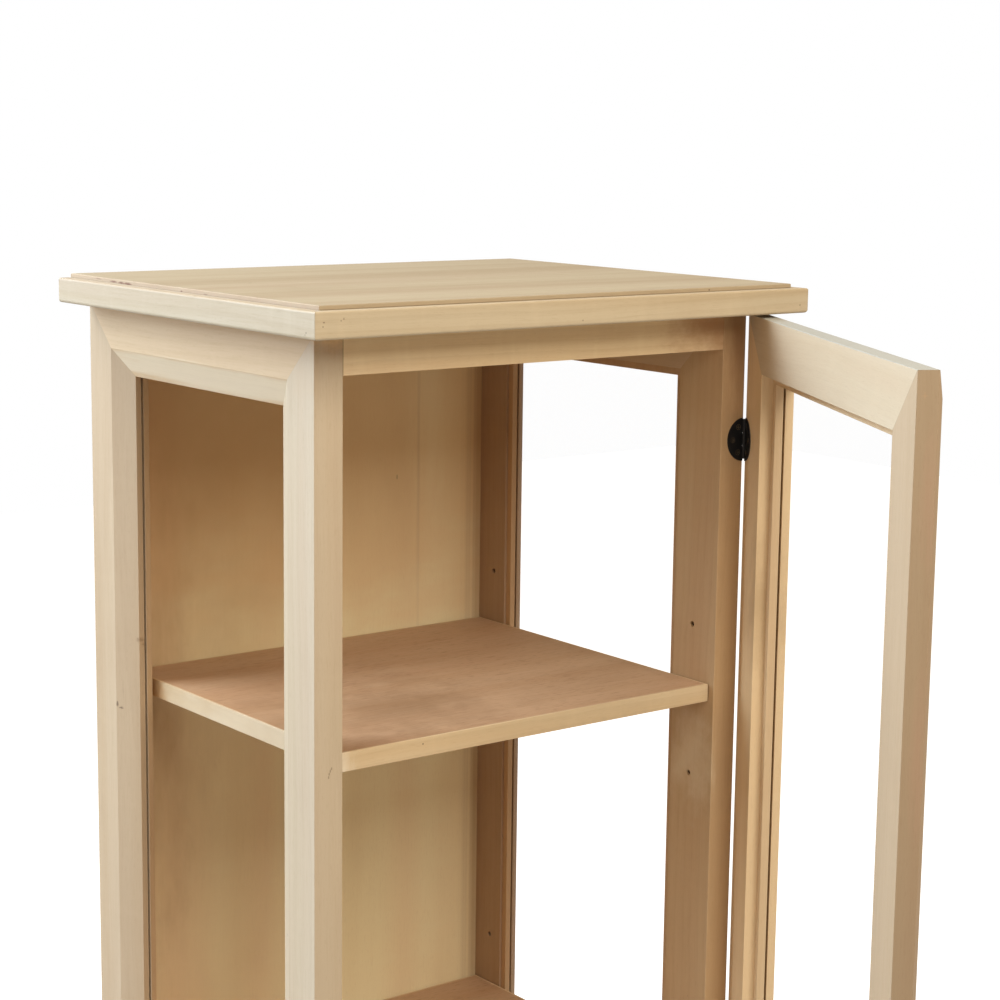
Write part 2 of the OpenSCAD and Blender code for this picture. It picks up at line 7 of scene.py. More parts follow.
import logging
import math
from dataclasses import dataclass, field, replace
from enum import Enum
from typing import ClassVar, Iterable, Optional, Sequence, Union

import bpy
from mathutils import Matrix, Vector


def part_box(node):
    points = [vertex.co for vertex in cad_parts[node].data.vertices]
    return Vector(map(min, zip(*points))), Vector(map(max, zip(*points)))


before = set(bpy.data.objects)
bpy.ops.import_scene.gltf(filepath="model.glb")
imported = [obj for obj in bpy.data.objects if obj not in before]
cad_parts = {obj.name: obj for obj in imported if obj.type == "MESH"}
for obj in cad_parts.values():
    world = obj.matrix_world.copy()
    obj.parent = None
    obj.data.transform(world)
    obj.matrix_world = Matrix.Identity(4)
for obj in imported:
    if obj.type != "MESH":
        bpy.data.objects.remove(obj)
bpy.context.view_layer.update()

log = logging.getLogger("display_cabinet")

Pair = tuple[float, float]
Triple = tuple[float, float, float]
Socket = bpy.types.NodeSocket
Value = Union[Socket, float, Sequence[float]]

NOWHERE: Triple = (0.0, 0.0, 0.0)
UP: Triple = (0.0, 0.0, 1.0)
ACROSS: Triple = (1.0, 0.0, 0.0)
LEFTWARD: Triple = (-1.0, 0.0, 0.0)
BACK: Triple = (0.0, 1.0, 0.0)
FRONT: Triple = (0.0, -1.0, 0.0)
WHITE: Triple = (1.0, 1.0, 1.0)


def linear(red: int, green: int, blue: int) -> Triple:
    """A colour as a screen shows it, turned into the shader's linear values.

    Args:
        red, green, blue: The three channels, 0 to 255.

    Returns:
        The same colour as linear values from 0 to 1.
    """
    knee, slope, offset, power = 0.04045, 12.92, 0.055, 2.4
    shares = (channel / 255.0 for channel in (red, green, blue))
    return tuple(share / slope if share <= knee else ((share + offset) / (1.0 + offset)) ** power
                 for share in shares)


def scaled(tone: Triple, share: float) -> Triple:
    """A tone made lighter or darker by a share, but no lighter than white."""
    return tuple(min(1.0, channel * share) for channel in tone)


@dataclass(frozen=True)
class Cloud:
    """Soft noise: its cycles per metre along x, y and z, its octaves and how strong they stay."""

    cycles: Triple
    detail: float = 2.0
    roughness: float = 0.5


class Bench:
    """Adds nodes to one node tree, links them and keeps the calls short."""

    # Sockets of a Mix node that are used for colours
    MIX_SHARE: ClassVar[int] = 0
    MIX_FIRST: ClassVar[int] = 6
    MIX_SECOND: ClassVar[int] = 7
    MIX_RESULT: ClassVar[int] = 2

    # The middle of soft noise, and where most of it lies
    NOISE_MIDDLE: ClassVar[float] = 0.5
    NOISE_RANGE: ClassVar[Pair] = (0.3, 0.7)

    def __init__(self, tree: bpy.types.NodeTree) -> None:
        """Starts on an existing tree.

        Args:
            tree: The node tree of a material, of the world or of a group.
        """
        self.tree = tree

    def own(self, kind: str) -> bpy.types.Node:
        """The tree's first node of a type, such as its output."""
        return next(node for node in self.tree.nodes if node.type == kind)

    def add(self, kind: str, **settings: object) -> bpy.types.Node:
        """Adds a node and sets its own properties.

        Args:
            kind: The node's type without the leading ShaderNode.
            **settings: Properties of the node, by name.

        Returns:
            The new node.
        """
        node = self.tree.nodes.new("ShaderNode" + kind)
        for name, value in settings.items():
            setattr(node, name, value)
        return node

    def feed(self, socket: Socket, value: Value) -> None:
        """Links a socket into an input, or sets the input to a plain value.

        Args:
            socket: The input.
            value: Another socket, a number or a sequence of numbers.
        """
        if isinstance(value, bpy.types.NodeSocket):
            self.tree.links.new(value, socket)
            return
        if not isinstance(value, (int, float)) and socket.type == "RGBA" and len(value) == 3:
            value = (*value, 1.0)
        socket.default_value = value

    def here(self) -> Socket:
        """The point of the surface, in metres of the whole object."""
        return self.add("TexCoord").outputs["Object"]

    def math(self, operation: str, a: Value, b: Optional[Value] = None) -> Socket:
        """Adds a Math node.

        Args:
            operation: Its operation.
            a: First value or socket.
            b: Second value or socket, if the operation takes one.

        Returns:
            The result.
        """
        node = self.add("Math", operation=operation)
        self.feed(node.inputs[0], a)
        if b is not None:
            self.feed(node.inputs[1], b)
        return node.outputs[0]

    def _vector_math(self, operation: str, a: Value, b: Optional[Value]) -> bpy.types.Node:
        """Adds a Vector Math node.

        Args:
            operation: Its operation.
            a: First vector or socket.
            b: Second vector or socket, or None.

        Returns:
            The node.
        """
        node = self.add("VectorMath", operation=operation)
        self.feed(node.inputs[0], a)
        if b is not None:
            self.feed(node.inputs[1], b)
        return node

    def vector(self, operation: str, a: Value, b: Optional[Value] = None) -> Socket:
        """The vector that a Vector Math node gives for one or two vectors."""
        return self._vector_math(operation, a, b).outputs["Vector"]

    def measure(self, operation: str, a: Value, b: Optional[Value] = None) -> Socket:
        """The number that a Vector Math node gives, such as a length or a dot product."""
        return self._vector_math(operation, a, b).outputs["Value"]

    def noise(self, place: Socket, cloud: Cloud) -> Socket:
        """Adds soft noise.

        Args:
            place: Where to read it.
            cloud: How fine and how rough it is.

        Returns:
            A value round 0.5.
        """
        stretched = self.vector("MULTIPLY", place, cloud.cycles)
        node = self.add("TexNoise", noise_dimensions="3D")
        self.feed(node.inputs["Vector"], stretched)
        self.feed(node.inputs["Scale"], 1.0)
        self.feed(node.inputs["Detail"], cloud.detail)
        self.feed(node.inputs["Roughness"], cloud.roughness)
        return node.outputs["Fac"]

    def ramp(self, value: Value, low: Value, high: Value, out: Pair = (0.0, 1.0)) -> Socket:
        """Maps a range smoothly onto another, clamped.

        Args:
            value: The value to map.
            low, high: Where the output starts and ends.
            out: The output at those two values.

        Returns:
            The mapped value.
        """
        node = self.add("MapRange", interpolation_type="SMOOTHSTEP", clamp=True)
        names = ("Value", "From Min", "From Max", "To Min", "To Max")
        for name, given in zip(names, (value, low, high, *out)):
            self.feed(node.inputs[name], given)
        return node.outputs[0]

    def blend(self, amount: Value, a: Value, b: Value) -> Socket:
        """Blends two colours.

        Args:
            amount: Share of the second, 0 to 1.
            a: First colour.
            b: Second colour.

        Returns:
            The blended colour.
        """
        node = self.add("Mix", data_type="RGBA", blend_type="MIX", clamp_factor=True)
        self.feed(node.inputs[self.MIX_SHARE], amount)
        self.feed(node.inputs[self.MIX_FIRST], a)
        self.feed(node.inputs[self.MIX_SECOND], b)
        return node.outputs[self.MIX_RESULT]

    def lay(self, mask: Socket, strength: float, colour: Value, tone: Triple) -> Socket:
        """Lays a tone over a colour where a mask shows, at a strength from 0 to 1."""
        return self.blend(self.math("MULTIPLY", mask, strength), colour, tone)

    def group(self, tree: bpy.types.NodeTree, **values: Value) -> bpy.types.Node:
        """Places a shader node group with its own values.

        Args:
            tree: The group.
            **values: Its inputs by name, with _ for a blank.

        Returns:
            The group node.
        """
        node = self.add("Group", node_tree=tree)
        for name, value in values.items():
            self.feed(node.inputs[name.replace("_", " ")], value)
        return node

    def roughen(self, shader: bpy.types.Node, value: Socket, level: float, spread: Pair) -> None:
        """Lets the shader's roughness follow a noise value.

        Args:
            shader: The material's shader.
            value: The noise.
            level: The roughness in the middle.
            spread: How far it goes below and above that level.
        """
        ends = (level - spread[0], level + spread[1])
        self.feed(shader.inputs["Roughness"], self.ramp(value, *self.NOISE_RANGE, ends))

    def bump(self, shader: bpy.types.Node, height: Socket, strength: float, depth: float) -> None:
        """Gives the shader a fine relief.

        Args:
            shader: The material's shader.
            height: The relief's height, 0 to 1.
            strength: How strongly it shows.
            depth: How deep it is, in metres.
        """
        node = self.add("Bump")
        self.feed(node.inputs["Height"], height)
        self.feed(node.inputs["Strength"], strength)
        self.feed(node.inputs["Distance"], depth)
        self.feed(shader.inputs["Normal"], node.outputs[0])


class Effects:
    """The shader node groups that several finishes share, each built once."""

    # The grain's figure, with z along the grain. The clouds of bands, blush and flecks aren't read
    # in metres but in widths of a band or sizes of a fleck.
    SWAY: ClassVar[Cloud] = Cloud((9.0, 9.0, 1.7))
    SWAY_REACH: ClassVar[float] = 0.035
    BANDS: ClassVar[Cloud] = Cloud((1.0, 1.0, 0.022), 3.0, 0.55)
    BAND_RANGE: ClassVar[Pair] = (0.3, 0.72)
    BLUSH: ClassVar[Cloud] = Cloud((0.55, 0.6, 0.03), 2.0, 0.6)
    BLUSH_RANGE: ClassVar[Pair] = (0.5, 0.75)
    RING_WAVER: ClassVar[Cloud] = Cloud((40.0, 40.0, 2.2), 3.0, 0.6)
    RING_WAVER_REACH: ClassVar[float] = 0.006
    RING_START: ClassVar[float] = 0.35
    RING_PEAK: ClassVar[float] = 0.93
    FIBRES: ClassVar[Cloud] = Cloud((700.0, 700.0, 20.0), 4.0, 0.62)
    FLECKS: ClassVar[Cloud] = Cloud((1.0, 1.0, 0.13))
    FLECK_RANGE: ClassVar[Pair] = (0.54, 0.74)
    FLECK_DEPTH: ClassVar[float] = 0.5
    BARS: ClassVar[Cloud] = Cloud((14.0, 14.0, 70.0))
    BAR_RANGE: ClassVar[Pair] = (0.52, 0.78)

    # Pits: their stretch along the grain, their smallest share of the full size, their edge
    PIT_STRETCH: ClassVar[Triple] = (1.0, 1.0, 0.6)
    PIT_SMALLEST: ClassVar[float] = 0.4
    PIT_EDGE: ClassVar[Cloud] = Cloud((1800.0, 1800.0, 900.0))
    PIT_RANGE: ClassVar[Pair] = (0.0004, -0.0003)

    # A single mark's ragged edge, in shares of its reach
    MARK_EDGE: ClassVar[Cloud] = Cloud((2.3, 2.3, 2.3), 4.0, 0.65)
    MARK_RAGGED: ClassVar[float] = 1.3

    # A rubbed edge: how far the rounded normal leans away there, and how it is broken up
    BEVEL_SAMPLES: ClassVar[int] = 4
    LEAN_RANGE: ClassVar[Pair] = (0.93, 0.75)
    RUBBING: ClassVar[Cloud] = Cloud((90.0, 90.0, 35.0), 3.0, 0.6)
    RUBBING_RANGE: ClassVar[Pair] = (0.35, 0.65)

    def __init__(self) -> None:
        """Builds every group."""
        self.grain = self._grain()
        self.pits = self._pits()
        self.spot = self._spot()
        self.seam = self._seam()
        self.arris = self._arris()

    @staticmethod
    def _start(name: str, inputs: Sequence[tuple[str, str, Union[float, Triple]]],
               outputs: Sequence[str]) -> tuple[Bench, bpy.types.Node, bpy.types.Node]:
        """Starts a group with named sockets.

        Args:
            name: The group's name.
            inputs: Name, kind (Float or Vector) and usual value of each input.
            outputs: Names of the outputs, all plain values.

        Returns:
            A bench on the group, its input node and its output node.
        """
        tree = bpy.data.node_groups.new(name, "ShaderNodeTree")
        for label, kind, value in inputs:
            socket = tree.interface.new_socket(name=label, in_out="INPUT",
                                               socket_type="NodeSocket" + kind)
            socket.default_value = value
        for label in outputs:
            tree.interface.new_socket(name=label, in_out="OUTPUT", socket_type="NodeSocketFloat")
        return Bench(tree), tree.nodes.new("NodeGroupInput"), tree.nodes.new("NodeGroupOutput")

    def _grain(self) -> bpy.types.NodeTree:
        """Soft figure of a pale close-grained wood, with z along the grain.

        Returns:
            A group with broad bands, blush, growth rings, fibres, flecks, cross bars and a height.
        """
        b, given, out = self._start(
            "wood grain",
            (("Place", "Vector", NOWHERE), ("Band Width", "Float", 0.03),
             ("Ring Width", "Float", 0.009), ("Fleck Size", "Float", 0.0008),
             ("Pith Depth", "Float", 0.12)),
            ("Bands", "Blush", "Rings", "Fibres", "Flecks", "Bars", "Height"))
        place = given.outputs["Place"]
        leaning = b.math("SUBTRACT", b.noise(place, self.SWAY), b.NOISE_MIDDLE)
        shift = b.add("CombineXYZ")
        b.feed(shift.inputs[0], b.math("MULTIPLY", leaning, self.SWAY_REACH))
        bent = b.vector("ADD", place, shift.outputs[0])
        wide = b.vector("DIVIDE", bent, given.outputs["Band Width"])
        b.feed(out.inputs["Bands"], b.ramp(b.noise(wide, self.BANDS), *self.BAND_RANGE))
        b.feed(out.inputs["Blush"], b.ramp(b.noise(wide, self.BLUSH), *self.BLUSH_RANGE))

        parts = b.add("SeparateXYZ")
        b.feed(parts.inputs[0], bent)
        side, depth = parts.outputs[0], parts.outputs[1]
        deep = b.math("ADD", depth, given.outputs["Pith Depth"])
        far = b.math("SQRT", b.math("ADD", b.math("MULTIPLY", side, side),
                                    b.math("MULTIPLY", deep, deep)))
        waver = b.math("MULTIPLY", b.noise(bent, self.RING_WAVER), self.RING_WAVER_REACH)
        turns = b.math("DIVIDE", b.math("ADD", far, waver), given.outputs["Ring Width"])
        ring = b.math("FRACT", turns)
        rising = b.ramp(ring, self.RING_START, self.RING_PEAK)
        falling = b.ramp(ring, 1.0, self.RING_PEAK)
        b.feed(out.inputs["Rings"], b.math("MULTIPLY", rising, falling))

        fibres = b.noise(bent, self.FIBRES)
        b.feed(out.inputs["Fibres"], fibres)
        near = b.vector("DIVIDE", bent, given.outputs["Fleck Size"])
        flecks = b.ramp(b.noise(near, self.FLECKS), *self.FLECK_RANGE)
        b.feed(out.inputs["Flecks"], flecks)
        b.feed(out.inputs["Bars"], b.ramp(b.noise(place, self.BARS), *self.BAR_RANGE))
        sunk = b.math("MULTIPLY", flecks, self.FLECK_DEPTH)
        b.feed(out.inputs["Height"], b.math("SUBTRACT", fibres, sunk))
        return b.tree

    def _pits(self) -> bpy.types.NodeTree:
        """Small dark pits and pin knots, scattered thinly.

        Returns:
            A group that gives a mask of the pits.
        """
        b, given, out = self._start(
            "wood pits",
            (("Place", "Vector", NOWHERE), ("Spacing", "Float", 0.03), ("Share", "Float", 0.2),
             ("Size", "Float", 0.0009)),
            ("Pits",))
        place, spacing = given.outputs["Place"], given.outputs["Spacing"]
        stretched = b.vector("MULTIPLY", place, self.PIT_STRETCH)
        cells = b.add("TexVoronoi", feature="F1", voronoi_dimensions="3D")
        b.feed(cells.inputs["Scale"], 1.0)
        b.feed(cells.inputs["Vector"], b.vector("DIVIDE", stretched, spacing))
        away = b.math("MULTIPLY", cells.outputs["Distance"], spacing)
        draw = b.add("SeparateColor")
        b.feed(draw.inputs[0], cells.outputs["Color"])
        kept_draw, size_draw = draw.outputs[0], draw.outputs[1]
        size = b.math("MULTIPLY", given.outputs["Size"],
                      b.math("ADD", size_draw, self.PIT_SMALLEST))
        ragged = b.math("MULTIPLY", b.noise(place, self.PIT_EDGE), size)
        edge = b.math("SUBTRACT", b.math("ADD", away, ragged), size)
        mask = b.ramp(edge, *self.PIT_RANGE)
        kept = b.math("LESS_THAN", kept_draw, given.outputs["Share"])
        b.feed(out.inputs["Pits"], b.math("MULTIPLY", mask, kept))
        return b.tree

    def _spot(self) -> bpy.types.NodeTree:
        """One ragged mark at a chosen place, such as a chip, a knot, a stain, or painted light and
        shade.

        Returns:
            A group that gives the mark's mask.
        """
        b, given, out = self._start(
            "single mark",
            (("Place", "Vector", NOWHERE), ("Centre", "Vector", NOWHERE),
             ("Reach", "Vector", (1.0, 1.0, 1.0)), ("Softness", "Float", 0.4)),
            ("Mark",))
        offset = b.vector("SUBTRACT", given.outputs["Place"], given.outputs["Centre"])
        shares = b.vector("DIVIDE", offset, given.outputs["Reach"])
        uneven = b.math("SUBTRACT", b.noise(shares, self.MARK_EDGE), b.NOISE_MIDDLE)
        ragged = b.math("MULTIPLY", uneven, self.MARK_RAGGED)
        away = b.math("ADD", b.measure("LENGTH", shares), ragged)
        inner = b.math("SUBTRACT", 1.0, given.outputs["Softness"])
        b.feed(out.inputs["Mark"], b.ramp(away, 1.0, inner))
        return b.tree

    def _seam(self) -> bpy.types.NodeTree:
        """The fine line where two pieces meet in a plane.

        Returns:
            A group that gives the line's mask.
        """
        b, given, out = self._start(
            "joint line",
            (("Place", "Vector", NOWHERE), ("Point", "Vector", NOWHERE), ("Across", "Vector", UP),
             ("Width", "Float", 0.0005)),
            ("Line",))
        offset = b.vector("SUBTRACT", given.outputs["Place"], given.outputs["Point"])
        away = b.math("ABSOLUTE", b.measure("DOT_PRODUCT", offset, given.outputs["Across"]))
        b.feed(out.inputs["Line"], b.ramp(away, given.outputs["Width"], 0.0))
        return b.tree

    def _arris(self) -> bpy.types.NodeTree:
        """Edges that sanding and handling have rubbed, which also carry the screws' painted glints.

        Returns:
            A group that gives a broken mask along the outer edges.
        """
        b, given, out = self._start(
            "rubbed edge", (("Place", "Vector", NOWHERE), ("Radius", "Float", 0.0012)), ("Edge",))
        bevel = b.add("Bevel", samples=self.BEVEL_SAMPLES)
        b.feed(bevel.inputs["Radius"], given.outputs["Radius"])
        shape = b.add("NewGeometry")
        same = b.measure("DOT_PRODUCT", bevel.outputs[0], shape.outputs["Normal"])
        edge = b.ramp(same, *self.LEAN_RANGE)
        broken = b.ramp(b.noise(given.outputs["Place"], self.RUBBING), *self.RUBBING_RANGE)
        b.feed(out.inputs["Edge"], b.math("MULTIPLY", edge, broken))
        return b.tree


@dataclass(frozen=True)
class Grain:
    """Which way a piece's grain runs and its main face looks, and where its figure starts."""

    along: Triple
    face: Triple
    seed: float = 0.0
    tilt: float = 1.2

    # How far a seed of 1 moves the figure across and along the grain, and its swing in depth
    STEP_ACROSS: ClassVar[float] = 0.137
    STEP_ALONG: ClassVar[float] = 0.71
    SWING: ClassVar[float] = 0.053
    SWING_RATE: ClassVar[float] = 3.1

    def turn(self) -> Matrix:
        """Lays the grain along z and the main face along y.

        Returns:
            The rotation, with the grain's slight lean in the board.
        """
        along = Vector(self.along).normalized()
        face = Vector(self.face).normalized()
        across = along.cross(face).normalized()
        straight = Matrix((across, face, along))
        return Matrix.Rotation(math.radians(self.tilt), 3, "X") @ straight

    def shift(self) -> Triple:
        """An offset of the figure that differs from piece to piece."""
        return (self.STEP_ACROSS * self.seed, self.SWING * math.sin(self.SWING_RATE * self.seed),
                self.STEP_ALONG * self.seed)


@dataclass(frozen=True)
class Seam:
    """A joint line in the plane through a point, square to a direction."""

    point: Triple
    across: Triple
    width: float = 0.0005
    strength: float = 0.22


@dataclass(frozen=True)
class Spot:
    """One mark: its centre, its reach along each axis, and how strong and how soft it is."""

    centre: Triple
    reach: Triple
    strength: float = 0.8
    softness: float = 0.5
    tone: Triple = (0.09, 0.045, 0.02)


def new_material(name: str) -> tuple[bpy.types.Material, Bench, bpy.types.Node]:
    """Makes a material with one Principled shader.

    Args:
        name: The material's name.

    Returns:
        The material, a bench on its nodes and the shader.
    """
    material = bpy.data.materials.new(name)
    material.use_nodes = True
    bench = Bench(material.node_tree)
    return material, bench, bench.own("BSDF_PRINCIPLED")


@dataclass(frozen=True)
class Timber:
    """A raw sanded wood: its tones and how strongly its figure shows."""

    name: str
    pale: Triple
    warm: Triple
    blush: Triple
    dark: Triple
    band_width: float = 0.03
    ring_width: float = 0.009
    ring_strength: float = 0.1
    fibre_strength: float = 0.09
    fleck_strength: float = 0.11
    fleck_size: float = 0.0008
    bar_strength: float = 0.06
    blush_strength: float = 0.5
    smudge_strength: float = 0.13
    pit_share: float = 0.12
    pit_strength: float = 0.75
    roughness: float = 0.56
    rub: float = 0.22

    # Shares of the pale tone, or of the dark one in a joint line
    LIGHT_FIBRE: ClassVar[float] = 1.14
    LIGHT_BAR: ClassVar[float] = 1.25
    RUBBED: ClassVar[float] = 1.12
    IN_SEAM: ClassVar[float] = 0.3

    # Where the noise turns into dark fibres, light fibres and smudges
    DARK_FIBRES: ClassVar[Pair] = (0.5, 0.72)
    LIGHT_FIBRES: ClassVar[Pair] = (0.46, 0.3)
    LIGHT_FIBRE_SHARE: ClassVar[float] = 0.9
    SMUDGES: ClassVar[Cloud] = Cloud((7.0, 7.0, 5.0), 3.0, 0.6)
    SMUDGE_RANGE: ClassVar[Pair] = (0.55, 0.8)

    PIT_TONE: ClassVar[Triple] = (0.07, 0.035, 0.018)
    PIT_DEPTH: ClassVar[float] = 2.0
    ROUGHNESS_SPREAD: ClassVar[Pair] = (0.05, 0.07)
    RELIEF: ClassVar[Pair] = (0.22, 0.00025)

    def shaded(self, share: Triple) -> "Timber":
        """The same wood with its tones changed: another board's tone, or painted light and shade.

        Args:
            share: What the red, green and blue of every tone are multiplied by.

        Returns:
            The wood with its new tones.
        """
        tones = {name: tuple(channel * k for channel, k in zip(getattr(self, name), share))
                 for name in ("pale", "warm", "blush", "dark")}
        return replace(self, **tones)

    def make(self, effects: Effects, piece: str, grain: Grain,
             seams: Iterable[Seam] = (), spots: Iterable[Spot] = ()) -> bpy.types.Material:
        """Builds the material for one piece.

        Args:
            effects: The shared node groups.
            piece: The piece's name, for the material's name.
            grain: How the grain runs in it.
            seams: Joint lines that show on it.
            spots: Single marks on it.

        Returns:
            The material.
        """
        material, b, shader = new_material(f"{self.name} {piece}")
        here = b.here()
        mapping = b.add("Mapping")
        b.feed(mapping.inputs["Vector"], here)
        mapping.inputs["Rotation"].default_value = grain.turn().to_euler("XYZ")
        mapping.inputs["Location"].default_value = grain.shift()
        place = mapping.outputs[0]
        figure = b.group(effects.grain, Place=place, Band_Width=self.band_width,
                         Ring_Width=self.ring_width, Fleck_Size=self.fleck_size).outputs
        colour = self._figured(b, figure, here)
        pits = b.group(effects.pits, Place=place, Share=self.pit_share).outputs["Pits"]
        colour = b.lay(pits, self.pit_strength, colour, self.PIT_TONE)
        for seam in seams:
            across = Vector(seam.across).normalized()
            line = b.group(effects.seam, Place=here, Point=seam.point, Across=across,
                           Width=seam.width).outputs["Line"]
            colour = b.lay(line, seam.strength, colour, scaled(self.dark, self.IN_SEAM))
        for spot in spots:
            mark = b.group(effects.spot, Place=here, Centre=spot.centre, Reach=spot.reach,
                           Softness=spot.softness).outputs["Mark"]
            colour = b.lay(mark, spot.strength, colour, spot.tone)
        edge = b.group(effects.arris, Place=here).outputs["Edge"]
        colour = b.lay(edge, self.rub, colour, scaled(self.pale, self.RUBBED))
        b.feed(shader.inputs["Base Color"], colour)
        b.roughen(shader, figure["Fibres"], self.roughness, self.ROUGHNESS_SPREAD)
        sunk = b.math("MULTIPLY", pits, self.PIT_DEPTH)
        b.bump(shader, b.math("SUBTRACT", figure["Height"], sunk), *self.RELIEF)
        return material

    def _figured(self, b: Bench, figure: bpy.types.NodeOutputs, here: Socket) -> Socket:
        """The wood's colour before pits, joint lines and marks.

        Args:
            b: A bench on the material's nodes.
            figure: What the grain group gives.
            here: The point of the surface.

        Returns:
            The colour.
        """
        colour = b.blend(figure["Bands"], self.pale, self.warm)
        colour = b.lay(figure["Blush"], self.blush_strength, colour, self.blush)
        colour = b.lay(figure["Rings"], self.ring_strength, colour, self.dark)
        streaks = b.ramp(figure["Fibres"], *self.DARK_FIBRES, (0.0, self.fibre_strength))
        colour = b.blend(streaks, colour, self.dark)
        lights = b.ramp(figure["Fibres"], *self.LIGHT_FIBRES,
                        (0.0, self.fibre_strength * self.LIGHT_FIBRE_SHARE))
        colour = b.blend(lights, colour, scaled(self.pale, self.LIGHT_FIBRE))
        colour = b.lay(figure["Flecks"], self.fleck_strength, colour, self.dark)
        colour = b.lay(figure["Bars"], self.bar_strength, colour,
                       scaled(self.pale, self.LIGHT_BAR))
        smudge = b.ramp(b.noise(here, self.SMUDGES), *self.SMUDGE_RANGE,
                        (0.0, self.smudge_strength))
        return b.blend(smudge, colour, self.dark)


@dataclass(frozen=True)
class SatinBlack:
    """Black lacquer or black moulded plastic, with a little dust and lighter rubbed edges, which on
    the screws are also painted glints.
    """

    name: str
    base: Triple = (0.012, 0.012, 0.013)
    wear_and_glint: Triple = (0.11, 0.1, 0.09)
    metallic: float = 0.0
    roughness: float = 0.42
    rub: float = 0.35
    rub_radius: float = 0.0004

    DUST: ClassVar[Cloud] = Cloud((260.0, 260.0, 260.0), 4.0, 0.65)
    DUST_RANGE: ClassVar[Pair] = (0.5, 0.8)
    DUST_STRENGTH: ClassVar[float] = 0.3
    DUSTY: ClassVar[float] = 3.2
    SHEEN: ClassVar[Cloud] = Cloud((900.0, 900.0, 900.0), 3.0, 0.6)
    ROUGHNESS_SPREAD: ClassVar[Pair] = (0.07, 0.1)
    ORANGE_PEEL: ClassVar[Cloud] = Cloud((2600.0, 2600.0, 2600.0))
    RELIEF: ClassVar[Pair] = (0.12, 0.0001)

    def make(self, effects: Effects, piece: str) -> bpy.types.Material:
        """Builds the material for one piece.

        Args:
            effects: The shared node groups.
            piece: The piece's name.

        Returns:
            The material.
        """
        material, b, shader = new_material(f"{self.name} {piece}")
        here = b.here()
        dust = b.ramp(b.noise(here, self.DUST), *self.DUST_RANGE, (0.0, self.DUST_STRENGTH))
        colour = b.blend(dust, self.base, scaled(self.base, self.DUSTY))
        edge = b.group(effects.arris, Place=here, Radius=self.rub_radius).outputs["Edge"]
        b.feed(shader.inputs["Base Color"], b.lay(edge, self.rub, colour, self.wear_and_glint))
        shader.inputs["Metallic"].default_value = self.metallic
        b.roughen(shader, b.noise(here, self.SHEEN), self.roughness, self.ROUGHNESS_SPREAD)
        b.bump(shader, b.noise(here, self.ORANGE_PEEL), *self.RELIEF)
        return material


@dataclass(frozen=True)
class ZincSteel:
    """Zinc-plated steel with a fine brushed haze and dull spots."""

    name: str = "zinc steel"
    base: Triple = (0.56, 0.56, 0.55)
    dull: Triple = (0.36, 0.35, 0.33)
    roughness: float = 0.34

    BRUSHED: ClassVar[Cloud] = Cloud((120.0, 120.0, 1900.0), 4.0, 0.6)
    HAZE_RANGE: ClassVar[Pair] = (0.45, 0.7)
    HAZE_STRENGTH: ClassVar[float] = 0.25
    SPOTS: ClassVar[Cloud] = Cloud((420.0, 420.0, 420.0), 3.0, 0.6)
    SPOT_RANGE: ClassVar[Pair] = (0.52, 0.7)
    SPOT_STRENGTH: ClassVar[float] = 0.7
    ROUGHNESS_SPREAD: ClassVar[Pair] = (0.08, 0.12)
    RELIEF: ClassVar[Pair] = (0.1, 0.0001)

    def make(self, piece: str) -> bpy.types.Material:
        """Builds the material for one piece.

        Args:
            piece: The piece's name.

        Returns:
            The material.
        """
        material, b, shader = new_material(f"{self.name} {piece}")
        here = b.here()
        haze = b.noise(here, self.BRUSHED)
        spots = b.ramp(b.noise(here, self.SPOTS), *self.SPOT_RANGE, (0.0, self.SPOT_STRENGTH))
        colour = b.blend(spots, self.base, self.dull)
        veil = b.ramp(haze, *self.HAZE_RANGE, (0.0, self.HAZE_STRENGTH))
        b.feed(shader.inputs["Base Color"], b.blend(veil, colour, self.dull))
        shader.inputs["Metallic"].default_value = 1.0
        b.roughen(shader, haze, self.roughness, self.ROUGHNESS_SPREAD)
        b.bump(shader, haze, *self.RELIEF)
        return material


@dataclass(frozen=True)
class MouldedPlastic:
    """Off-white moulded plastic with a faint moulding texture."""

    name: str = "moulded plastic"
    base: Triple = (0.78, 0.76, 0.7)
    shade: Triple = (0.62, 0.59, 0.52)
    roughness: float = 0.45

    YELLOWING: ClassVar[Cloud] = Cloud((60.0, 60.0, 60.0), 3.0, 0.6)
    YELLOW_RANGE: ClassVar[Pair] = (0.45, 0.75)
    YELLOW_STRENGTH: ClassVar[float] = 0.45
    MOULD_SKIN: ClassVar[Cloud] = Cloud((2400.0, 2400.0, 2400.0), 3.0, 0.6)
    ROUGHNESS_SPREAD: ClassVar[Pair] = (0.05, 0.1)
    RELIEF: ClassVar[Pair] = (0.15, 0.0001)

    def make(self, piece: str) -> bpy.types.Material:
        """Builds the material for one piece.

        Args:
            piece: The piece's name.

        Returns:
            The material.
        """
        material, b, shader = new_material(f"{self.name} {piece}")
        here = b.here()
        tinge = b.ramp(b.noise(here, self.YELLOWING), *self.YELLOW_RANGE,
                       (0.0, self.YELLOW_STRENGTH))
        b.feed(shader.inputs["Base Color"], b.blend(tinge, self.base, self.shade))
        skin = b.noise(here, self.MOULD_SKIN)
        b.roughen(shader, skin, self.roughness, self.ROUGHNESS_SPREAD)
        b.bump(shader, skin, *self.RELIEF)
        return material


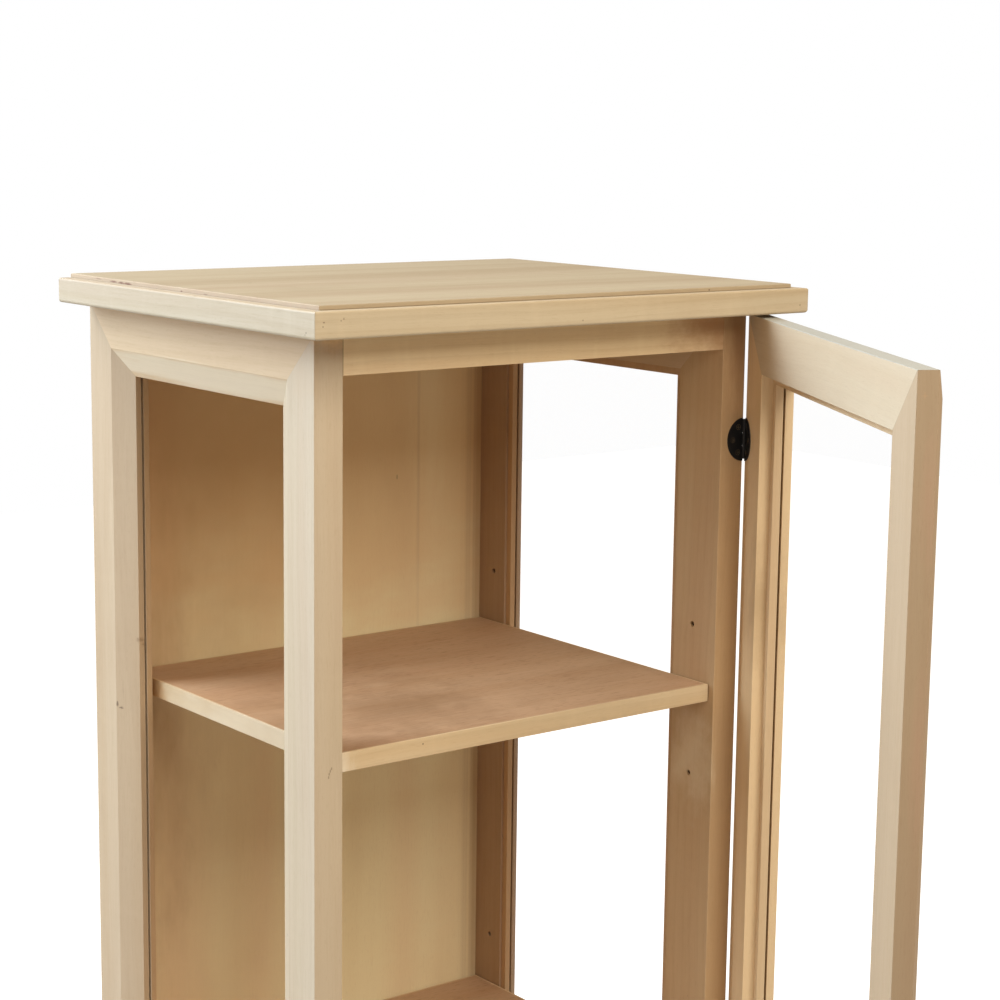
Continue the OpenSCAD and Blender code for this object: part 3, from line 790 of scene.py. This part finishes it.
@dataclass(frozen=True)
class ClearGlass:
    """Clear float glass that lets the lamps through, with a trace of dust and faint waviness."""

    name: str = "clear glass"
    tint: Triple = (0.985, 0.993, 0.99)
    shadow: Triple = WHITE
    clarity: float = 0.985
    ior: float = 1.45

    DUST: ClassVar[Cloud] = Cloud((35.0, 35.0, 35.0), 4.0, 0.7)
    DUST_RANGE: ClassVar[Pair] = (0.55, 0.85)
    DUST_ROUGHNESS: ClassVar[float] = 0.04
    WAVES: ClassVar[Cloud] = Cloud((4.0, 4.0, 2.5))
    RELIEF: ClassVar[Pair] = (0.05, 0.0004)

    def make(self, piece: str) -> bpy.types.Material:
        """Builds the material for one piece.

        Args:
            piece: The piece's name.

        Returns:
            The material.
        """
        material, b, shader = new_material(f"{self.name} {piece}")
        here = b.here()
        b.feed(shader.inputs["Base Color"], self.tint)
        shader.inputs["Transmission Weight"].default_value = 1.0
        shader.inputs["IOR"].default_value = self.ior
        dust = b.ramp(b.noise(here, self.DUST), *self.DUST_RANGE, (0.0, self.DUST_ROUGHNESS))
        b.feed(shader.inputs["Roughness"], dust)
        b.bump(shader, b.noise(here, self.WAVES), *self.RELIEF)
        clear = b.add("BsdfTransparent")
        b.feed(clear.inputs["Color"], self.shadow)
        path = b.add("LightPath").outputs
        lit = b.math("MAXIMUM", path["Is Shadow Ray"], path["Is Diffuse Ray"])
        mix = b.add("MixShader")
        b.feed(mix.inputs[0], b.math("MAXIMUM", lit, self.clarity))
        b.feed(mix.inputs[1], shader.outputs[0])
        b.feed(mix.inputs[2], clear.outputs[0])
        b.feed(b.own("OUTPUT_MATERIAL").inputs["Surface"], mix.outputs[0])
        return material


class Tone(Enum):
    """The woods of the cabinet, with their pale, warm, blushing and dark tones."""

    LIME = Timber(
        "lime wood", linear(206, 178, 143), linear(201, 171, 134), linear(199, 162, 128),
        linear(156, 116, 78), blush_strength=0.3, ring_strength=0.06)
    DOOR = Timber(
        "door wood", linear(211, 184, 150), linear(206, 178, 143), linear(205, 169, 136),
        linear(160, 122, 84), blush_strength=0.4, ring_strength=0.02, fibre_strength=0.06)
    MOULDING = Timber(
        "moulding wood", linear(200, 181, 152), linear(191, 167, 133), linear(191, 163, 133),
        linear(149, 117, 81), bar_strength=0.12)
    RAIL = Timber(
        "rail wood", linear(225, 202, 164), linear(215, 186, 143), linear(215, 182, 143),
        linear(168, 131, 87), bar_strength=0.1)
    EDGING = Timber(
        "edging wood", linear(223, 197, 160), linear(213, 182, 140), linear(213, 178, 140),
        linear(167, 127, 85), bar_strength=0.1)
    PANEL = Timber(
        "panel veneer", linear(192, 173, 140), linear(180, 158, 125), linear(181, 154, 124),
        linear(141, 109, 75), band_width=0.04, ring_strength=0.03, ring_width=0.014,
        fibre_strength=0.1, pit_share=0.05, rub=0.0)
    BACK = Timber(
        "back board", linear(235, 205, 160), linear(229, 196, 150), linear(226, 184, 141),
        linear(181, 138, 92), band_width=0.07, blush_strength=0.75, fibre_strength=0.05,
        ring_strength=0.0)
    SHELF = Timber(
        "shelf veneer", linear(190, 147, 110), linear(183, 138, 100), linear(184, 135, 98),
        linear(130, 87, 54), band_width=0.03, ring_strength=0.0, fibre_strength=0.12,
        fleck_strength=0.44, fleck_size=0.0014, bar_strength=0.02, pit_share=0.05, rub=0.1)


class Side(Enum):
    """The two glazed sides, by the direction that they face."""

    LEFT = -1
    RIGHT = 1


def dress(name: str, material: bpy.types.Material) -> None:
    """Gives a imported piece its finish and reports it.

    Args:
        name: The piece's name.
        material: Its finish.
    """
    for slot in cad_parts[name].material_slots:
        slot.material = material
    log.info("%s: %s", name, material.name)


def span(name: str) -> tuple[Vector, Vector]:
    """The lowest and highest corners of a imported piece, in metres."""
    low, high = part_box(name)
    return Vector(low), Vector(high)


def meeting(word: str, mitres: dict[tuple[str, str], Seam]) -> list[Seam]:
    """The mitres of a frame that a member meets, by the word for its place, such as top."""
    return [seam for ends, seam in mitres.items() if word in ends]


# How the red, green and blue of single boards differ from their wood. Many of these shares are
# also painted light and shade that lighten or darken a whole piece for the light it gets: the
# back panel, the shelves and the door's hinge stile made lighter, the right rear stile darker.
UNSHADED: Triple = (1.0, 1.0, 1.0)
SHADES: dict[str, Triple] = {
    "top_edge_left": (0.93, 0.96, 1.0),
    "top_edge_front": (0.98, 0.98, 0.94),
    "top_panel": (0.9, 0.9, 0.91),
    "left_top_rail": (1.01, 0.985, 0.93),
    "left_rear_stile": (0.85, 0.85, 0.85),
    "left_front_stile": (0.93, 1.02, 1.13),
    "right_rear_stile": (0.72, 0.67, 0.68),
    "right_front_stile": (0.91, 0.84, 0.73),
    "right_beads": (0.9, 0.8, 0.7),
    "front_top_rail": (1.14, 1.15, 1.15),
    "back_panel": (1.18, 1.42, 1.56),
    "shelf_top_board": (1.1, 1.26, 1.44),
    "shelf_middle_board": (1.02, 1.13, 1.25),
    "shelf_bottom_board": (1.05, 1.17, 1.3),
    "shelf_top_edging": (0.94, 0.95, 0.93),
    "door_hinge_stile": (1.3, 1.3, 1.2),
    "door_top_rail": (1.0, 1.08, 1.14),
    "door_free_stile": (0.83, 0.82, 0.8),
    "door_beads": (1.12, 1.1, 1.02),
}

# Painted shade: near black inside the shelf-pin holes
PIN_HOLE_SHADE: Triple = (0.004, 0.002, 0.001)
PIN_HOLE_REACH: Triple = (0.0034, 0.0032, 0.0032)
CHIP: Triple = (0.17, 0.07, 0.03)
# Painted shadow in the gap beside the top panel
PANEL_GAP_SHADOW: Triple = (0.42, 0.28, 0.17)
KNOT: Triple = (0.24, 0.14, 0.06)
WARM: Triple = (0.46, 0.3, 0.17)
# Painted light for faces that lie in shade
PAINTED_LIGHT: Triple = (0.86, 0.78, 0.63)
PINKISH: Triple = (0.5, 0.29, 0.19)
SCUFF: Triple = (0.62, 0.42, 0.27)

# Steps of the front post's scratch, across and up
SCRATCH: tuple[Pair, ...] = (
    (0.0016, 0.0034), (0.0004, 0.0017), (-0.0006, -0.0005), (-0.0011, -0.0031))

# Single marks of each board: pin knots, chips and streaks, pin holes darkened as painted shade,
# and soft zones of tone, most of them painted light and shade
MARKS: dict[str, tuple[Spot, ...]] = {
    "top_edge_front": (
        # Pin knots near the left and right corners and in the middle
        Spot((-0.2421, -0.201, 1.4886), (0.0011, 0.002, 0.0007), 0.6),
        Spot((-0.2429, -0.201, 1.4855), (0.0007, 0.002, 0.0008), 0.6),
        Spot((-0.2272, -0.201, 1.4893), (0.0008, 0.002, 0.0007), 0.5),
        Spot((-0.2248, -0.201, 1.4906), (0.0007, 0.002, 0.001), 0.5),
        Spot((0.0011, -0.201, 1.4797), (0.0009, 0.002, 0.0009), 0.5),
        Spot((0.2407, -0.201, 1.4825), (0.0009, 0.002, 0.0009), 0.6),
    ),
    "top_edge_left": (
        Spot((-0.25, -0.1894, 1.4806), (0.002, 0.0008, 0.0009), 0.7),
        Spot((-0.25, -0.1880, 1.4790), (0.002, 0.0008, 0.0007), 0.5),
    ),
    "top_panel": (
        # The painted shadow in the gap beside the left edge, the chips along it, and two pin knots
        Spot((-0.2395, 0.0, 1.4975), (0.0006, 0.4, 0.02), 0.6, 0.4, PANEL_GAP_SHADOW),
        Spot((-0.24, 0.1485, 1.4985), (0.002, 0.008, 0.0007), 0.6, 0.6, CHIP),
        Spot((-0.24, 0.122, 1.4978), (0.002, 0.008, 0.001), 0.85, 0.5, CHIP),
        Spot((-0.24, 0.109, 1.4976), (0.002, 0.006, 0.0012), 0.9, 0.5, CHIP),
        Spot((-0.24, 0.098, 1.4975), (0.002, 0.009, 0.0013), 0.9, 0.5, CHIP),
        Spot((-0.24, 0.009, 1.4972), (0.002, 0.002, 0.0009), 0.8, 0.5, CHIP),
        Spot((-0.24, -0.0286, 1.4972), (0.002, 0.004, 0.0006), 0.6, 0.5, CHIP),
        Spot((0.145, -0.1905, 1.498), (0.001, 0.002, 0.001), 0.7),
        Spot((-0.1638, 0.0291, 1.5), (0.002, 0.002, 0.001), 0.45),
    ),
    "left_top_rail": (
        # Painted light: the bevel under the top board made paler
        Spot((-0.217, 0.02, 1.4265), (0.02, 0.3, 0.015), 0.36, 0.5, (0.8, 0.72, 0.55)),
    ),
    "left_rear_stile": (
        # Painted light in the shaded slot of the pane's rebate, a knot in four strokes, and two
        # faint ones
        Spot((-0.2045, 0.146, 0.75), (0.0012, 0.012, 0.9), 0.8, 0.3, PAINTED_LIGHT),
        Spot((-0.221, 0.1615, 1.1245), (0.004, 0.0014, 0.003), 0.65, 0.5),
        Spot((-0.221, 0.157, 1.1215), (0.004, 0.0036, 0.0014), 0.65, 0.5),
        Spot((-0.221, 0.1517, 1.1255), (0.004, 0.0014, 0.003), 0.65, 0.5),
        Spot((-0.221, 0.1555, 1.138), (0.004, 0.0014, 0.012), 0.35, 0.8),
        Spot((-0.2085, 0.141, 1.1848), (0.005, 0.003, 0.0032), 0.6, 0.6, KNOT),
        Spot((-0.2045, 0.1405, 1.1803), (0.005, 0.003, 0.0026), 0.55, 0.6, KNOT),
    ),
    "left_beads": (
        # Painted light in the shaded slot of the pane's rebate
        Spot((-0.2035, 0.146, 0.75), (0.0012, 0.012, 0.9), 0.8, 0.3, PAINTED_LIGHT),
    ),
    "left_front_stile": (
        # A short slanting scratch; painted shade under the board at the top of the post, with a
        # painted lighter band inside it, and painted shade at the top of its side face
        *(Spot((-0.2073 + x, -0.156, 1.1349 + z), (0.0008, 0.002, 0.0016), 0.5, 0.5)
          for x, z in SCRATCH),
        Spot((-0.208, -0.156, 1.48), (0.05, 0.04, 0.034), 0.4, 1.0, (0.5, 0.2, 0.05)),
        Spot((-0.208, -0.156, 1.479), (0.05, 0.04, 0.02), 0.55, 1.0, (1.0, 0.68, 0.32)),
        Spot((-0.2215, -0.13, 1.462), (0.01, 0.06, 0.06), 0.5, 1.0, (0.6, 0.43, 0.27)),
    ),
    "right_front_stile": (
        # Painted light on the lower inner face, painted shade at the top of the front face under
        # the board, and two pin holes darkened as painted shade
        Spot((0.1955, -0.13, 1.075), (0.01, 0.05, 0.06), 0.4, 1.0, (0.85, 0.72, 0.5)),
        Spot((0.2126, -0.158, 1.45), (0.022, 0.02, 0.11), 0.45, 1.0, (0.24, 0.09, 0.03)),
        Spot((0.1992, -0.126, 1.19675), PIN_HOLE_REACH, 0.9, 0.3, PIN_HOLE_SHADE),
        Spot((0.1992, -0.126, 1.06075), PIN_HOLE_REACH, 0.9, 0.3, PIN_HOLE_SHADE),
    ),
    "right_rear_stile": (
        # A pin hole darkened as painted shade
        Spot((0.1992, 0.163, 1.19675), PIN_HOLE_REACH, 0.9, 0.3, PIN_HOLE_SHADE),
    ),
    "front_top_rail": (
        # Painted shade, warm and red, at the right end of the rail under the board
        Spot((0.185, -0.156, 1.462), (0.07, 0.03, 0.04), 0.6, 1.0, (0.36, 0.11, 0.02)),
    ),
    "back_panel": (
        # Soft zones of tone, most of them painted shade on the left side, over the upper
        # compartment and down the right side; a pale and a dark streak, and one pin knot
        Spot((-0.2, 0.186, 1.37), (0.34, 0.2, 0.3), 0.36, 1.0, (0.34, 0.19, 0.08)),
        Spot((0.1, 0.186, 1.27), (0.04, 0.05, 0.12), 0.12, 1.0, (0.36, 0.2, 0.09)),
        Spot((0.0, 0.186, 1.34), (0.6, 0.2, 0.24), 0.48, 0.6, (0.85, 0.53, 0.26)),
        Spot((0.132, 0.186, 1.37), (0.03, 0.2, 0.16), 0.45, 1.0, (1.0, 0.85, 0.55)),
        Spot((0.12, 0.186, 1.3), (0.003, 0.2, 0.3), 0.16, 1.0, (0.3, 0.15, 0.06)),
        Spot((-0.2, 0.186, 1.08), (0.1, 0.2, 0.3), 0.45, 1.0, (0.34, 0.17, 0.06)),
        Spot((0.203, 0.186, 0.75), (0.035, 0.2, 30.0), 0.55, 1.0, (0.25, 0.12, 0.04)),
        Spot((0.0948, 0.186, 1.2959), (0.0006, 0.002, 0.003), 0.6),
    ),
    "shelf_top_board": (
        # Two darker zones and two scuffs
        Spot((-0.09, -0.07, 1.147), (0.16, 0.15, 0.03), 0.6, 1.0, (0.2, 0.1, 0.04)),
        Spot((-0.16, -0.14, 1.147), (0.07, 0.05, 0.03), 0.35, 1.0, (0.16, 0.06, 0.02)),
        Spot((-0.002, 0.05, 1.147), (0.03, 0.012, 0.03), 0.3, 0.9, SCUFF),
        Spot((-0.045, 0.015, 1.147), (0.022, 0.01, 0.03), 0.28, 0.9, SCUFF),
    ),
    "shelf_top_edging": (
        # A pin knot, painted light along the left edge, and a warmer brown at its rear end
        Spot((-0.1141, -0.1495, 1.142), (0.0009, 0.002, 0.0009), 0.75),
        Spot((-0.195, -0.05, 1.14), (0.02, 0.3, 0.06), 0.5, 0.9, PAINTED_LIGHT),
        Spot((-0.195, 0.16, 1.14), (0.02, 0.05, 0.06), 0.8, 0.9, (0.62, 0.34, 0.13)),
    ),
    "door_top_rail": (
        # Painted shade: the narrow top face of the rail made darker and greyer
        Spot((0.118, -0.35, 1.4725), (0.3, 0.45, 0.0007), 0.8, 0.4, (0.4, 0.4, 0.35)),
    ),
    "door_hinge_stile": (
        # Painted shade on the middle of the stile's inner face
        Spot((0.1974, -0.2034, 1.225), (0.05, 0.05, 0.08), 0.4, 1.0, (0.36, 0.22, 0.1)),
    ),
    "door_free_stile": (
        # Pinkish zones of the free edge, and a small crossed scratch at its top
        Spot((0.0184, -0.5512, 1.38), (0.012, 0.006, 0.07), 0.3, 1.0, PINKISH),
        Spot((0.0184, -0.5512, 1.2), (0.012, 0.006, 0.09), 0.3, 1.0, PINKISH),
        Spot((0.0131, -0.5483, 1.4549), (0.0035, 0.0035, 0.0008), 0.5, 0.6, WARM),
        Spot((0.0131, -0.5483, 1.4549), (0.0008, 0.0014, 0.0035), 0.5, 0.6, WARM),
    ),
}


# What the left pane lets through of the light behind it
LEFT_PANE_SHADOW: Triple = (0.94, 0.915, 0.885)


@dataclass
class Joinery:
    """Finishes a wooden piece with its board's share and its marks, many of them painted light and
    shade.
    """

    effects: Effects
    shades: dict[str, Triple] = field(default_factory=dict)
    marks: dict[str, tuple[Spot, ...]] = field(default_factory=dict)

    def finish(self, name: str, tone: Tone, grain: Grain, seams: Iterable[Seam] = ()) -> None:
        """Finishes one piece.

        Args:
            name: The piece's name.
            tone: Its wood.
            grain: How the grain runs in it.
            seams: Joint lines that show on it.
        """
        timber = tone.value.shaded(self.shades.get(name, UNSHADED))
        dress(name, timber.make(self.effects, name, grain, seams, self.marks.get(name, ())))


@dataclass
class Boards:
    """The top and base boards, four mouldings round a thin panel each, and the floor board."""

    joinery: Joinery
    starts: tuple[tuple[str, float], ...] = (("top", 0.0), ("base", 20.0))
    moulding_seed: float = 1.0
    moulding_step: float = 1.7
    panel_seed: float = 5.3
    floor_seed: float = 33.0
    panel_tilt: float = 0.7
    mitre_width: float = 0.0005
    mitre_strength: float = 0.35
    # Width and strength of the painted shadow line round each panel
    gap_shadow_width: float = 0.0009
    gap_shadow_strength: float = 0.5

    def dress(self) -> None:
        """Finishes the mouldings, the panels and the floor board inside the base."""
        for level, start in self.starts:
            low, high = span(f"{level}_edge_front")
            left = self._mitre(low.x, low, (1.0, -1.0, 0.0))
            right = self._mitre(high.x, low, (1.0, 1.0, 0.0))
            bars = (("front", ACROSS, FRONT, (left, right)), ("back", ACROSS, BACK, ()),
                    ("left", BACK, LEFTWARD, (left,)), ("right", BACK, ACROSS, (right,)))
            for index, (side, along, face, seams) in enumerate(bars):
                seed = self.moulding_seed + start + index * self.moulding_step
                self.joinery.finish(f"{level}_edge_{side}", Tone.MOULDING,
                                    Grain(along, face, seed), seams)
            rise = high.z if level == "top" else low.z
            # Painted shadow: a dark line round the panel where it meets the mouldings
            gap = Seam((0.0, 0.0, rise), UP, self.gap_shadow_width, self.gap_shadow_strength)
            grain = Grain(ACROSS, UP, start + self.panel_seed, self.panel_tilt)
            self.joinery.finish(f"{level}_panel", Tone.PANEL, grain, (gap,))
        self.joinery.finish("floor_board", Tone.PANEL,
                            Grain(ACROSS, UP, self.floor_seed, self.panel_tilt))

    def _mitre(self, side: float, low: Vector, across: Triple) -> Seam:
        """The mitre at one front corner of a board."""
        return Seam((side, low.y, low.z), across, self.mitre_width, self.mitre_strength)


@dataclass
class SideFrame:
    """One glazed side: two stiles and two rails, mitred, with a pane and its beads."""

    joinery: Joinery
    side: Side
    pane: ClearGlass
    seed: float
    seed_step: float = 2.3
    bead_step: float = 9.0
    mitre_width: float = 0.0005
    mitre_strength: float = 0.1

    def dress(self) -> None:
        """Finishes the members, the pane and the beads."""
        label = self.side.name.lower()
        face = (float(self.side.value), 0.0, 0.0)
        low, high = span(f"{label}_front_stile")
        rear = span(f"{label}_rear_stile")[1].y
        line = (self.mitre_width, self.mitre_strength)
        mitres = {
            ("front", "top"): Seam((low.x, low.y, high.z), (0.0, 1.0, 1.0), *line),
            ("front", "bottom"): Seam((low.x, low.y, low.z), (0.0, 1.0, -1.0), *line),
            ("rear", "top"): Seam((low.x, rear, high.z), (0.0, 1.0, -1.0), *line),
            ("rear", "bottom"): Seam((low.x, rear, low.z), (0.0, 1.0, 1.0), *line),
        }
        members = (("front", "stile", UP), ("rear", "stile", UP),
                   ("top", "rail", BACK), ("bottom", "rail", BACK))
        for index, (word, kind, along) in enumerate(members):
            self.joinery.finish(f"{label}_{word}_{kind}", Tone.LIME,
                                Grain(along, face, self.seed + self.seed_step * index),
                                meeting(word, mitres))
        dress(f"{label}_glass", self.pane.make(label))
        self.joinery.finish(f"{label}_beads", Tone.LIME,
                            Grain(UP, face, self.seed + self.bead_step))


@dataclass
class Carcass:
    """The front rails with their dowels, and the back panel with its beads."""

    joinery: Joinery
    rail_seed: float = 7.0
    dowel_seed: float = 41.0
    back_seed: float = 12.6
    bead_seed: float = 15.0
    joint_width: float = 0.0008
    joint_strength: float = 0.55

    def dress(self) -> None:
        """Finishes the rails, the dowels, the back panel and its beads."""
        for index, name in enumerate(("front_top_rail", "front_bottom_rail")):
            low, high = span(name)
            seams = [Seam((x, low.y, low.z), ACROSS, self.joint_width, self.joint_strength)
                     for x in (low.x, high.x)]
            self.joinery.finish(name, Tone.RAIL, Grain(ACROSS, FRONT, self.rail_seed + index),
                                seams)
        self.joinery.finish("rail_dowels", Tone.LIME, Grain(ACROSS, FRONT, self.dowel_seed))
        self.joinery.finish("back_panel", Tone.BACK, Grain(UP, FRONT, self.back_seed))
        self.joinery.finish("back_beads", Tone.LIME, Grain(UP, BACK, self.bead_seed))


@dataclass
class Shelves:
    """The three shelves with their edging and the pins under them."""

    joinery: Joinery
    levels: tuple[str, ...] = ("top", "middle", "bottom")
    board_seed: float = 2.0
    board_step: float = 3.0
    board_tilt: float = 0.5
    edging_seed: float = 51.0
    pin_roughness: float = 0.35

    def dress(self) -> None:
        """Finishes the boards, the edging and the pins."""
        plastic = SatinBlack("black plastic", roughness=self.pin_roughness)
        for index, level in enumerate(self.levels):
            board, edging, pins = (f"shelf_{level}_{part}" for part in ("board", "edging", "pins"))
            seed = self.board_seed + self.board_step * index
            self.joinery.finish(board, Tone.SHELF, Grain(ACROSS, UP, seed, self.board_tilt))
            self.joinery.finish(edging, Tone.EDGING, Grain(ACROSS, FRONT, self.edging_seed + index))
            dress(pins, plastic.make(self.joinery.effects, pins))


@dataclass
class Door:
    """The glazed door, which stands open at an angle, with its knob and strike plate."""

    joinery: Joinery
    hinge: Pair = (0.2221, -0.15695)
    angle: float = 61.0
    width: float = 0.443
    gap: float = 0.00095
    inset: float = 0.0006
    seed: float = 60.0
    seed_step: float = 2.9
    bead_seed: float = 75.0
    knob_seed: float = 80.0
    edge_line_width: float = 0.0004
    edge_line_strength: float = 0.28

    def along(self) -> Vector:
        """The direction from the hinges to the free edge."""
        turn = math.radians(self.angle)
        return Vector((-math.cos(turn), -math.sin(turn), 0.0))

    def outward(self) -> Vector:
        """The direction that the outer face looks."""
        turn = math.radians(self.angle)
        return Vector((math.sin(turn), -math.cos(turn), 0.0))

    def at(self, reach: float, depth: float, height: float) -> Triple:
        """A point of the door.

        Args:
            reach: Distance from the hinged edge.
            depth: Distance outwards from the inner face.
            height: Height above the floor.

        Returns:
            The point, in metres.
        """
        spot = Vector((*self.hinge, height)) + self.along() * (self.inset + reach)
        return tuple(spot + self.outward() * (self.gap + depth))

    def dress(self) -> None:
        """Finishes the frame, the pane, the beads, the knob and the strike plate."""
        low, high = span("door_hinge_stile")
        along, up = self.along(), Vector(UP)
        mitres = {
            ("hinge", "top"): Seam(self.at(0.0, 0.0, high.z), tuple(along + up)),
            ("hinge", "bottom"): Seam(self.at(0.0, 0.0, low.z), tuple(along - up)),
            ("free", "top"): Seam(self.at(self.width, 0.0, high.z), tuple(along - up)),
            ("free", "bottom"): Seam(self.at(self.width, 0.0, low.z), tuple(along + up)),
        }
        inner = tuple(-self.outward())
        members = (("hinge", "stile", UP), ("free", "stile", UP),
                   ("top", "rail", tuple(along)), ("bottom", "rail", tuple(along)))
        for index, (word, kind, run) in enumerate(members):
            seams = meeting(word, mitres)
            if word == "free":
                seams.append(Seam(self.at(self.width, 0.0, high.z), tuple(along),
                                  self.edge_line_width, self.edge_line_strength))
            self.joinery.finish(f"door_{word}_{kind}", Tone.DOOR,
                                Grain(run, inner, self.seed + self.seed_step * index), seams)
        dress("door_glass", ClearGlass().make("door"))
        self.joinery.finish("door_beads", Tone.DOOR, Grain(UP, inner, self.bead_seed))
        self.joinery.finish("door_knob", Tone.DOOR,
                            Grain(tuple(self.outward()), UP, self.knob_seed))
        steel = ZincSteel().make("fittings")
        for name in ("knob_screw", "strike_plate", "strike_screws"):
            dress(name, steel)


@dataclass
class Hardware:
    """The half-moon hinges and the magnetic catch."""

    effects: Effects
    heights: tuple[str, ...] = ("top", "middle", "bottom")
    lacquer: SatinBlack = SatinBlack("black lacquer", roughness=0.4)
    # The screws' lighter rubbed edges are partly wear and partly painted glints
    screw: SatinBlack = SatinBlack("black screws", (0.03, 0.027, 0.024), (0.5, 0.38, 0.24),
                                   metallic=0.3, roughness=0.33, rub=1.0)

    def dress(self) -> None:
        """Finishes the hinge leaves, pins and screws, and the catch."""
        black = self.lacquer.make(self.effects, "hinges")
        for height in self.heights:
            for side in ("post", "door"):
                dress(f"hinge_{height}_{side}_leaf", black)
        for name in ("hinge_pins", "hinge_post_screws", "hinge_door_screws"):
            dress(name, self.screw.make(self.effects, name))
        dress("catch_housing", MouldedPlastic().make("catch_housing"))
        steel = ZincSteel("catch steel").make("catch")
        for name in ("catch_magnet", "catch_screws"):
            dress(name, steel)


@dataclass(frozen=True)
class PhotoCamera:
    """The camera as fitted to the photograph, which is 1000 pixels square."""

    place: Triple = (-1.146459, -1.581845, 1.635114)
    yaw: float = 37.69903
    pitch: float = 9.47999
    roll: float = 0.7233
    focal_pixels: float = 2279.274
    image_pixels: float = 1000.0
    sensor: float = 36.0
    clip: Pair = (0.05, 100.0)

    def set_up(self) -> None:
        """Adds the camera and makes it the scene's own."""
        yaw, pitch, roll = (math.radians(angle) for angle in (self.yaw, self.pitch, self.roll))
        forward = Vector((math.sin(yaw) * math.cos(pitch), math.cos(yaw) * math.cos(pitch),
                          -math.sin(pitch)))
        level = Vector((math.cos(yaw), -math.sin(yaw), 0.0))
        rise = level.cross(forward)
        right = math.cos(roll) * level + math.sin(roll) * rise
        up = -math.sin(roll) * level + math.cos(roll) * rise
        data = bpy.data.cameras.new("photo camera")
        data.sensor_width = self.sensor
        data.lens = self.sensor * self.focal_pixels / self.image_pixels
        data.clip_start, data.clip_end = self.clip
        camera = bpy.data.objects.new("photo_camera", data)
        turn = Matrix((right, up, -forward)).transposed().to_4x4()
        camera.matrix_world = Matrix.Translation(Vector(self.place)) @ turn
        bpy.context.scene.collection.objects.link(camera)
        bpy.context.scene.camera = camera


@dataclass(frozen=True)
class Lamp:
    """A square softbox that looks at a point."""

    name: str
    place: Triple
    power: float
    colour: Triple
    target: Triple = (0.0, -0.1, 1.2)
    size: float = 1.8

    def hang(self) -> None:
        """Adds the lamp."""
        data = bpy.data.lights.new(self.name, "AREA")
        data.shape = "SQUARE"
        data.size = self.size
        data.energy = self.power
        data.color = self.colour
        lamp = bpy.data.objects.new(self.name, data)
        aim = (Vector(self.target) - Vector(self.place)).to_track_quat("-Z", "Y")
        lamp.matrix_world = Matrix.Translation(Vector(self.place)) @ aim.to_matrix().to_4x4()
        bpy.context.scene.collection.objects.link(lamp)


@dataclass
class Studio:
    """A white room: soft lamps, an even world and a pale floor that keeps the shadow."""

    lamps: tuple[Lamp, ...] = (
        Lamp("side_lamp", (-2.049, 1.537, 2.352), 113.0, (0.64, 0.81, 1.0)),
        Lamp("high_side_lamp", (-1.324, 1.104, 3.407), 63.0, (0.72, 0.83, 1.0)),
        Lamp("front_lamp", (-0.213, -2.128, 3.009), 67.0, (1.0, 0.98, 0.92)),
    )
    ambient: float = 0.31
    ambient_colour: Triple = (1.0, 0.74, 0.46)
    floor_reach: float = 14.0
    floor_level: float = -0.0005
    floor_tone: Triple = (0.62, 0.61, 0.59)
    floor_roughness: float = 0.9
    glow_distance: Pair = (0.7, 1.9)
    glow: Pair = (0.72, 1.0)

    def set_up(self) -> None:
        """Adds the lamps, the world and the floor."""
        for lamp in self.lamps:
            lamp.hang()
        self._world()
        self._floor()
        bpy.context.scene.view_settings.view_transform = "Standard"

    @staticmethod
    def _seen(b: Bench) -> Socket:
        """A mask of what the camera sees, straight or through glass."""
        path = b.add("LightPath").outputs
        return b.math("MAXIMUM", path["Is Camera Ray"], path["Is Transmission Ray"])

    def _world(self) -> None:
        """A plain white world to look at, and an even soft light on the object."""
        world = bpy.data.worlds.new("white room")
        world.use_nodes = True
        bpy.context.scene.world = world
        b = Bench(world.node_tree)
        light = b.own("BACKGROUND")
        b.feed(light.inputs["Color"], self.ambient_colour)
        b.feed(light.inputs["Strength"], self.ambient)
        white = b.add("Background")
        b.feed(white.inputs["Color"], WHITE)
        b.feed(white.inputs["Strength"], 1.0)
        mix = b.add("MixShader")
        b.feed(mix.inputs[0], self._seen(b))
        b.feed(mix.inputs[1], light.outputs[0])
        b.feed(mix.inputs[2], white.outputs[0])
        b.feed(b.own("OUTPUT_WORLD").inputs["Surface"], mix.outputs[0])

    def _floor(self) -> None:
        """A pale floor, which looks white but keeps the object's shadow."""
        half, level = self.floor_reach / 2, self.floor_level
        corners = [(-half, -half, level), (half, -half, level), (half, half, level),
                   (-half, half, level)]
        mesh = bpy.data.meshes.new("floor")
        mesh.from_pydata(corners, [], [(0, 1, 2, 3)])
        floor = bpy.data.objects.new("floor", mesh)
        bpy.context.scene.collection.objects.link(floor)
        material, b, shader = new_material("pale floor")
        b.feed(shader.inputs["Base Color"], self.floor_tone)
        b.feed(shader.inputs["Roughness"], self.floor_roughness)
        glow = b.add("Emission")
        b.feed(glow.inputs["Color"], WHITE)
        away = b.measure("LENGTH", b.here())
        strength = b.math("MULTIPLY", self._seen(b), b.ramp(away, *self.glow_distance, self.glow))
        b.feed(glow.inputs["Strength"], strength)
        both = b.add("AddShader")
        b.feed(both.inputs[0], shader.outputs[0])
        b.feed(both.inputs[1], glow.outputs[0])
        b.feed(b.own("OUTPUT_MATERIAL").inputs["Surface"], both.outputs[0])
        mesh.materials.append(material)


def main() -> None:
    """Sets the camera and the studio, and dresses the cabinet piece by piece."""
    logging.basicConfig(level=logging.INFO, format="%(message)s")
    PhotoCamera().set_up()
    Studio().set_up()
    effects = Effects()
    joinery = Joinery(effects, SHADES, MARKS)
    Boards(joinery).dress()
    SideFrame(joinery, Side.LEFT, ClearGlass(shadow=LEFT_PANE_SHADOW), seed=-4.0).dress()
    SideFrame(joinery, Side.RIGHT, ClearGlass(), seed=10.0).dress()
    Carcass(joinery).dress()
    Shelves(joinery).dress()
    Door(joinery).dress()
    Hardware(effects).dress()


if __name__ == "__main__":
    main()
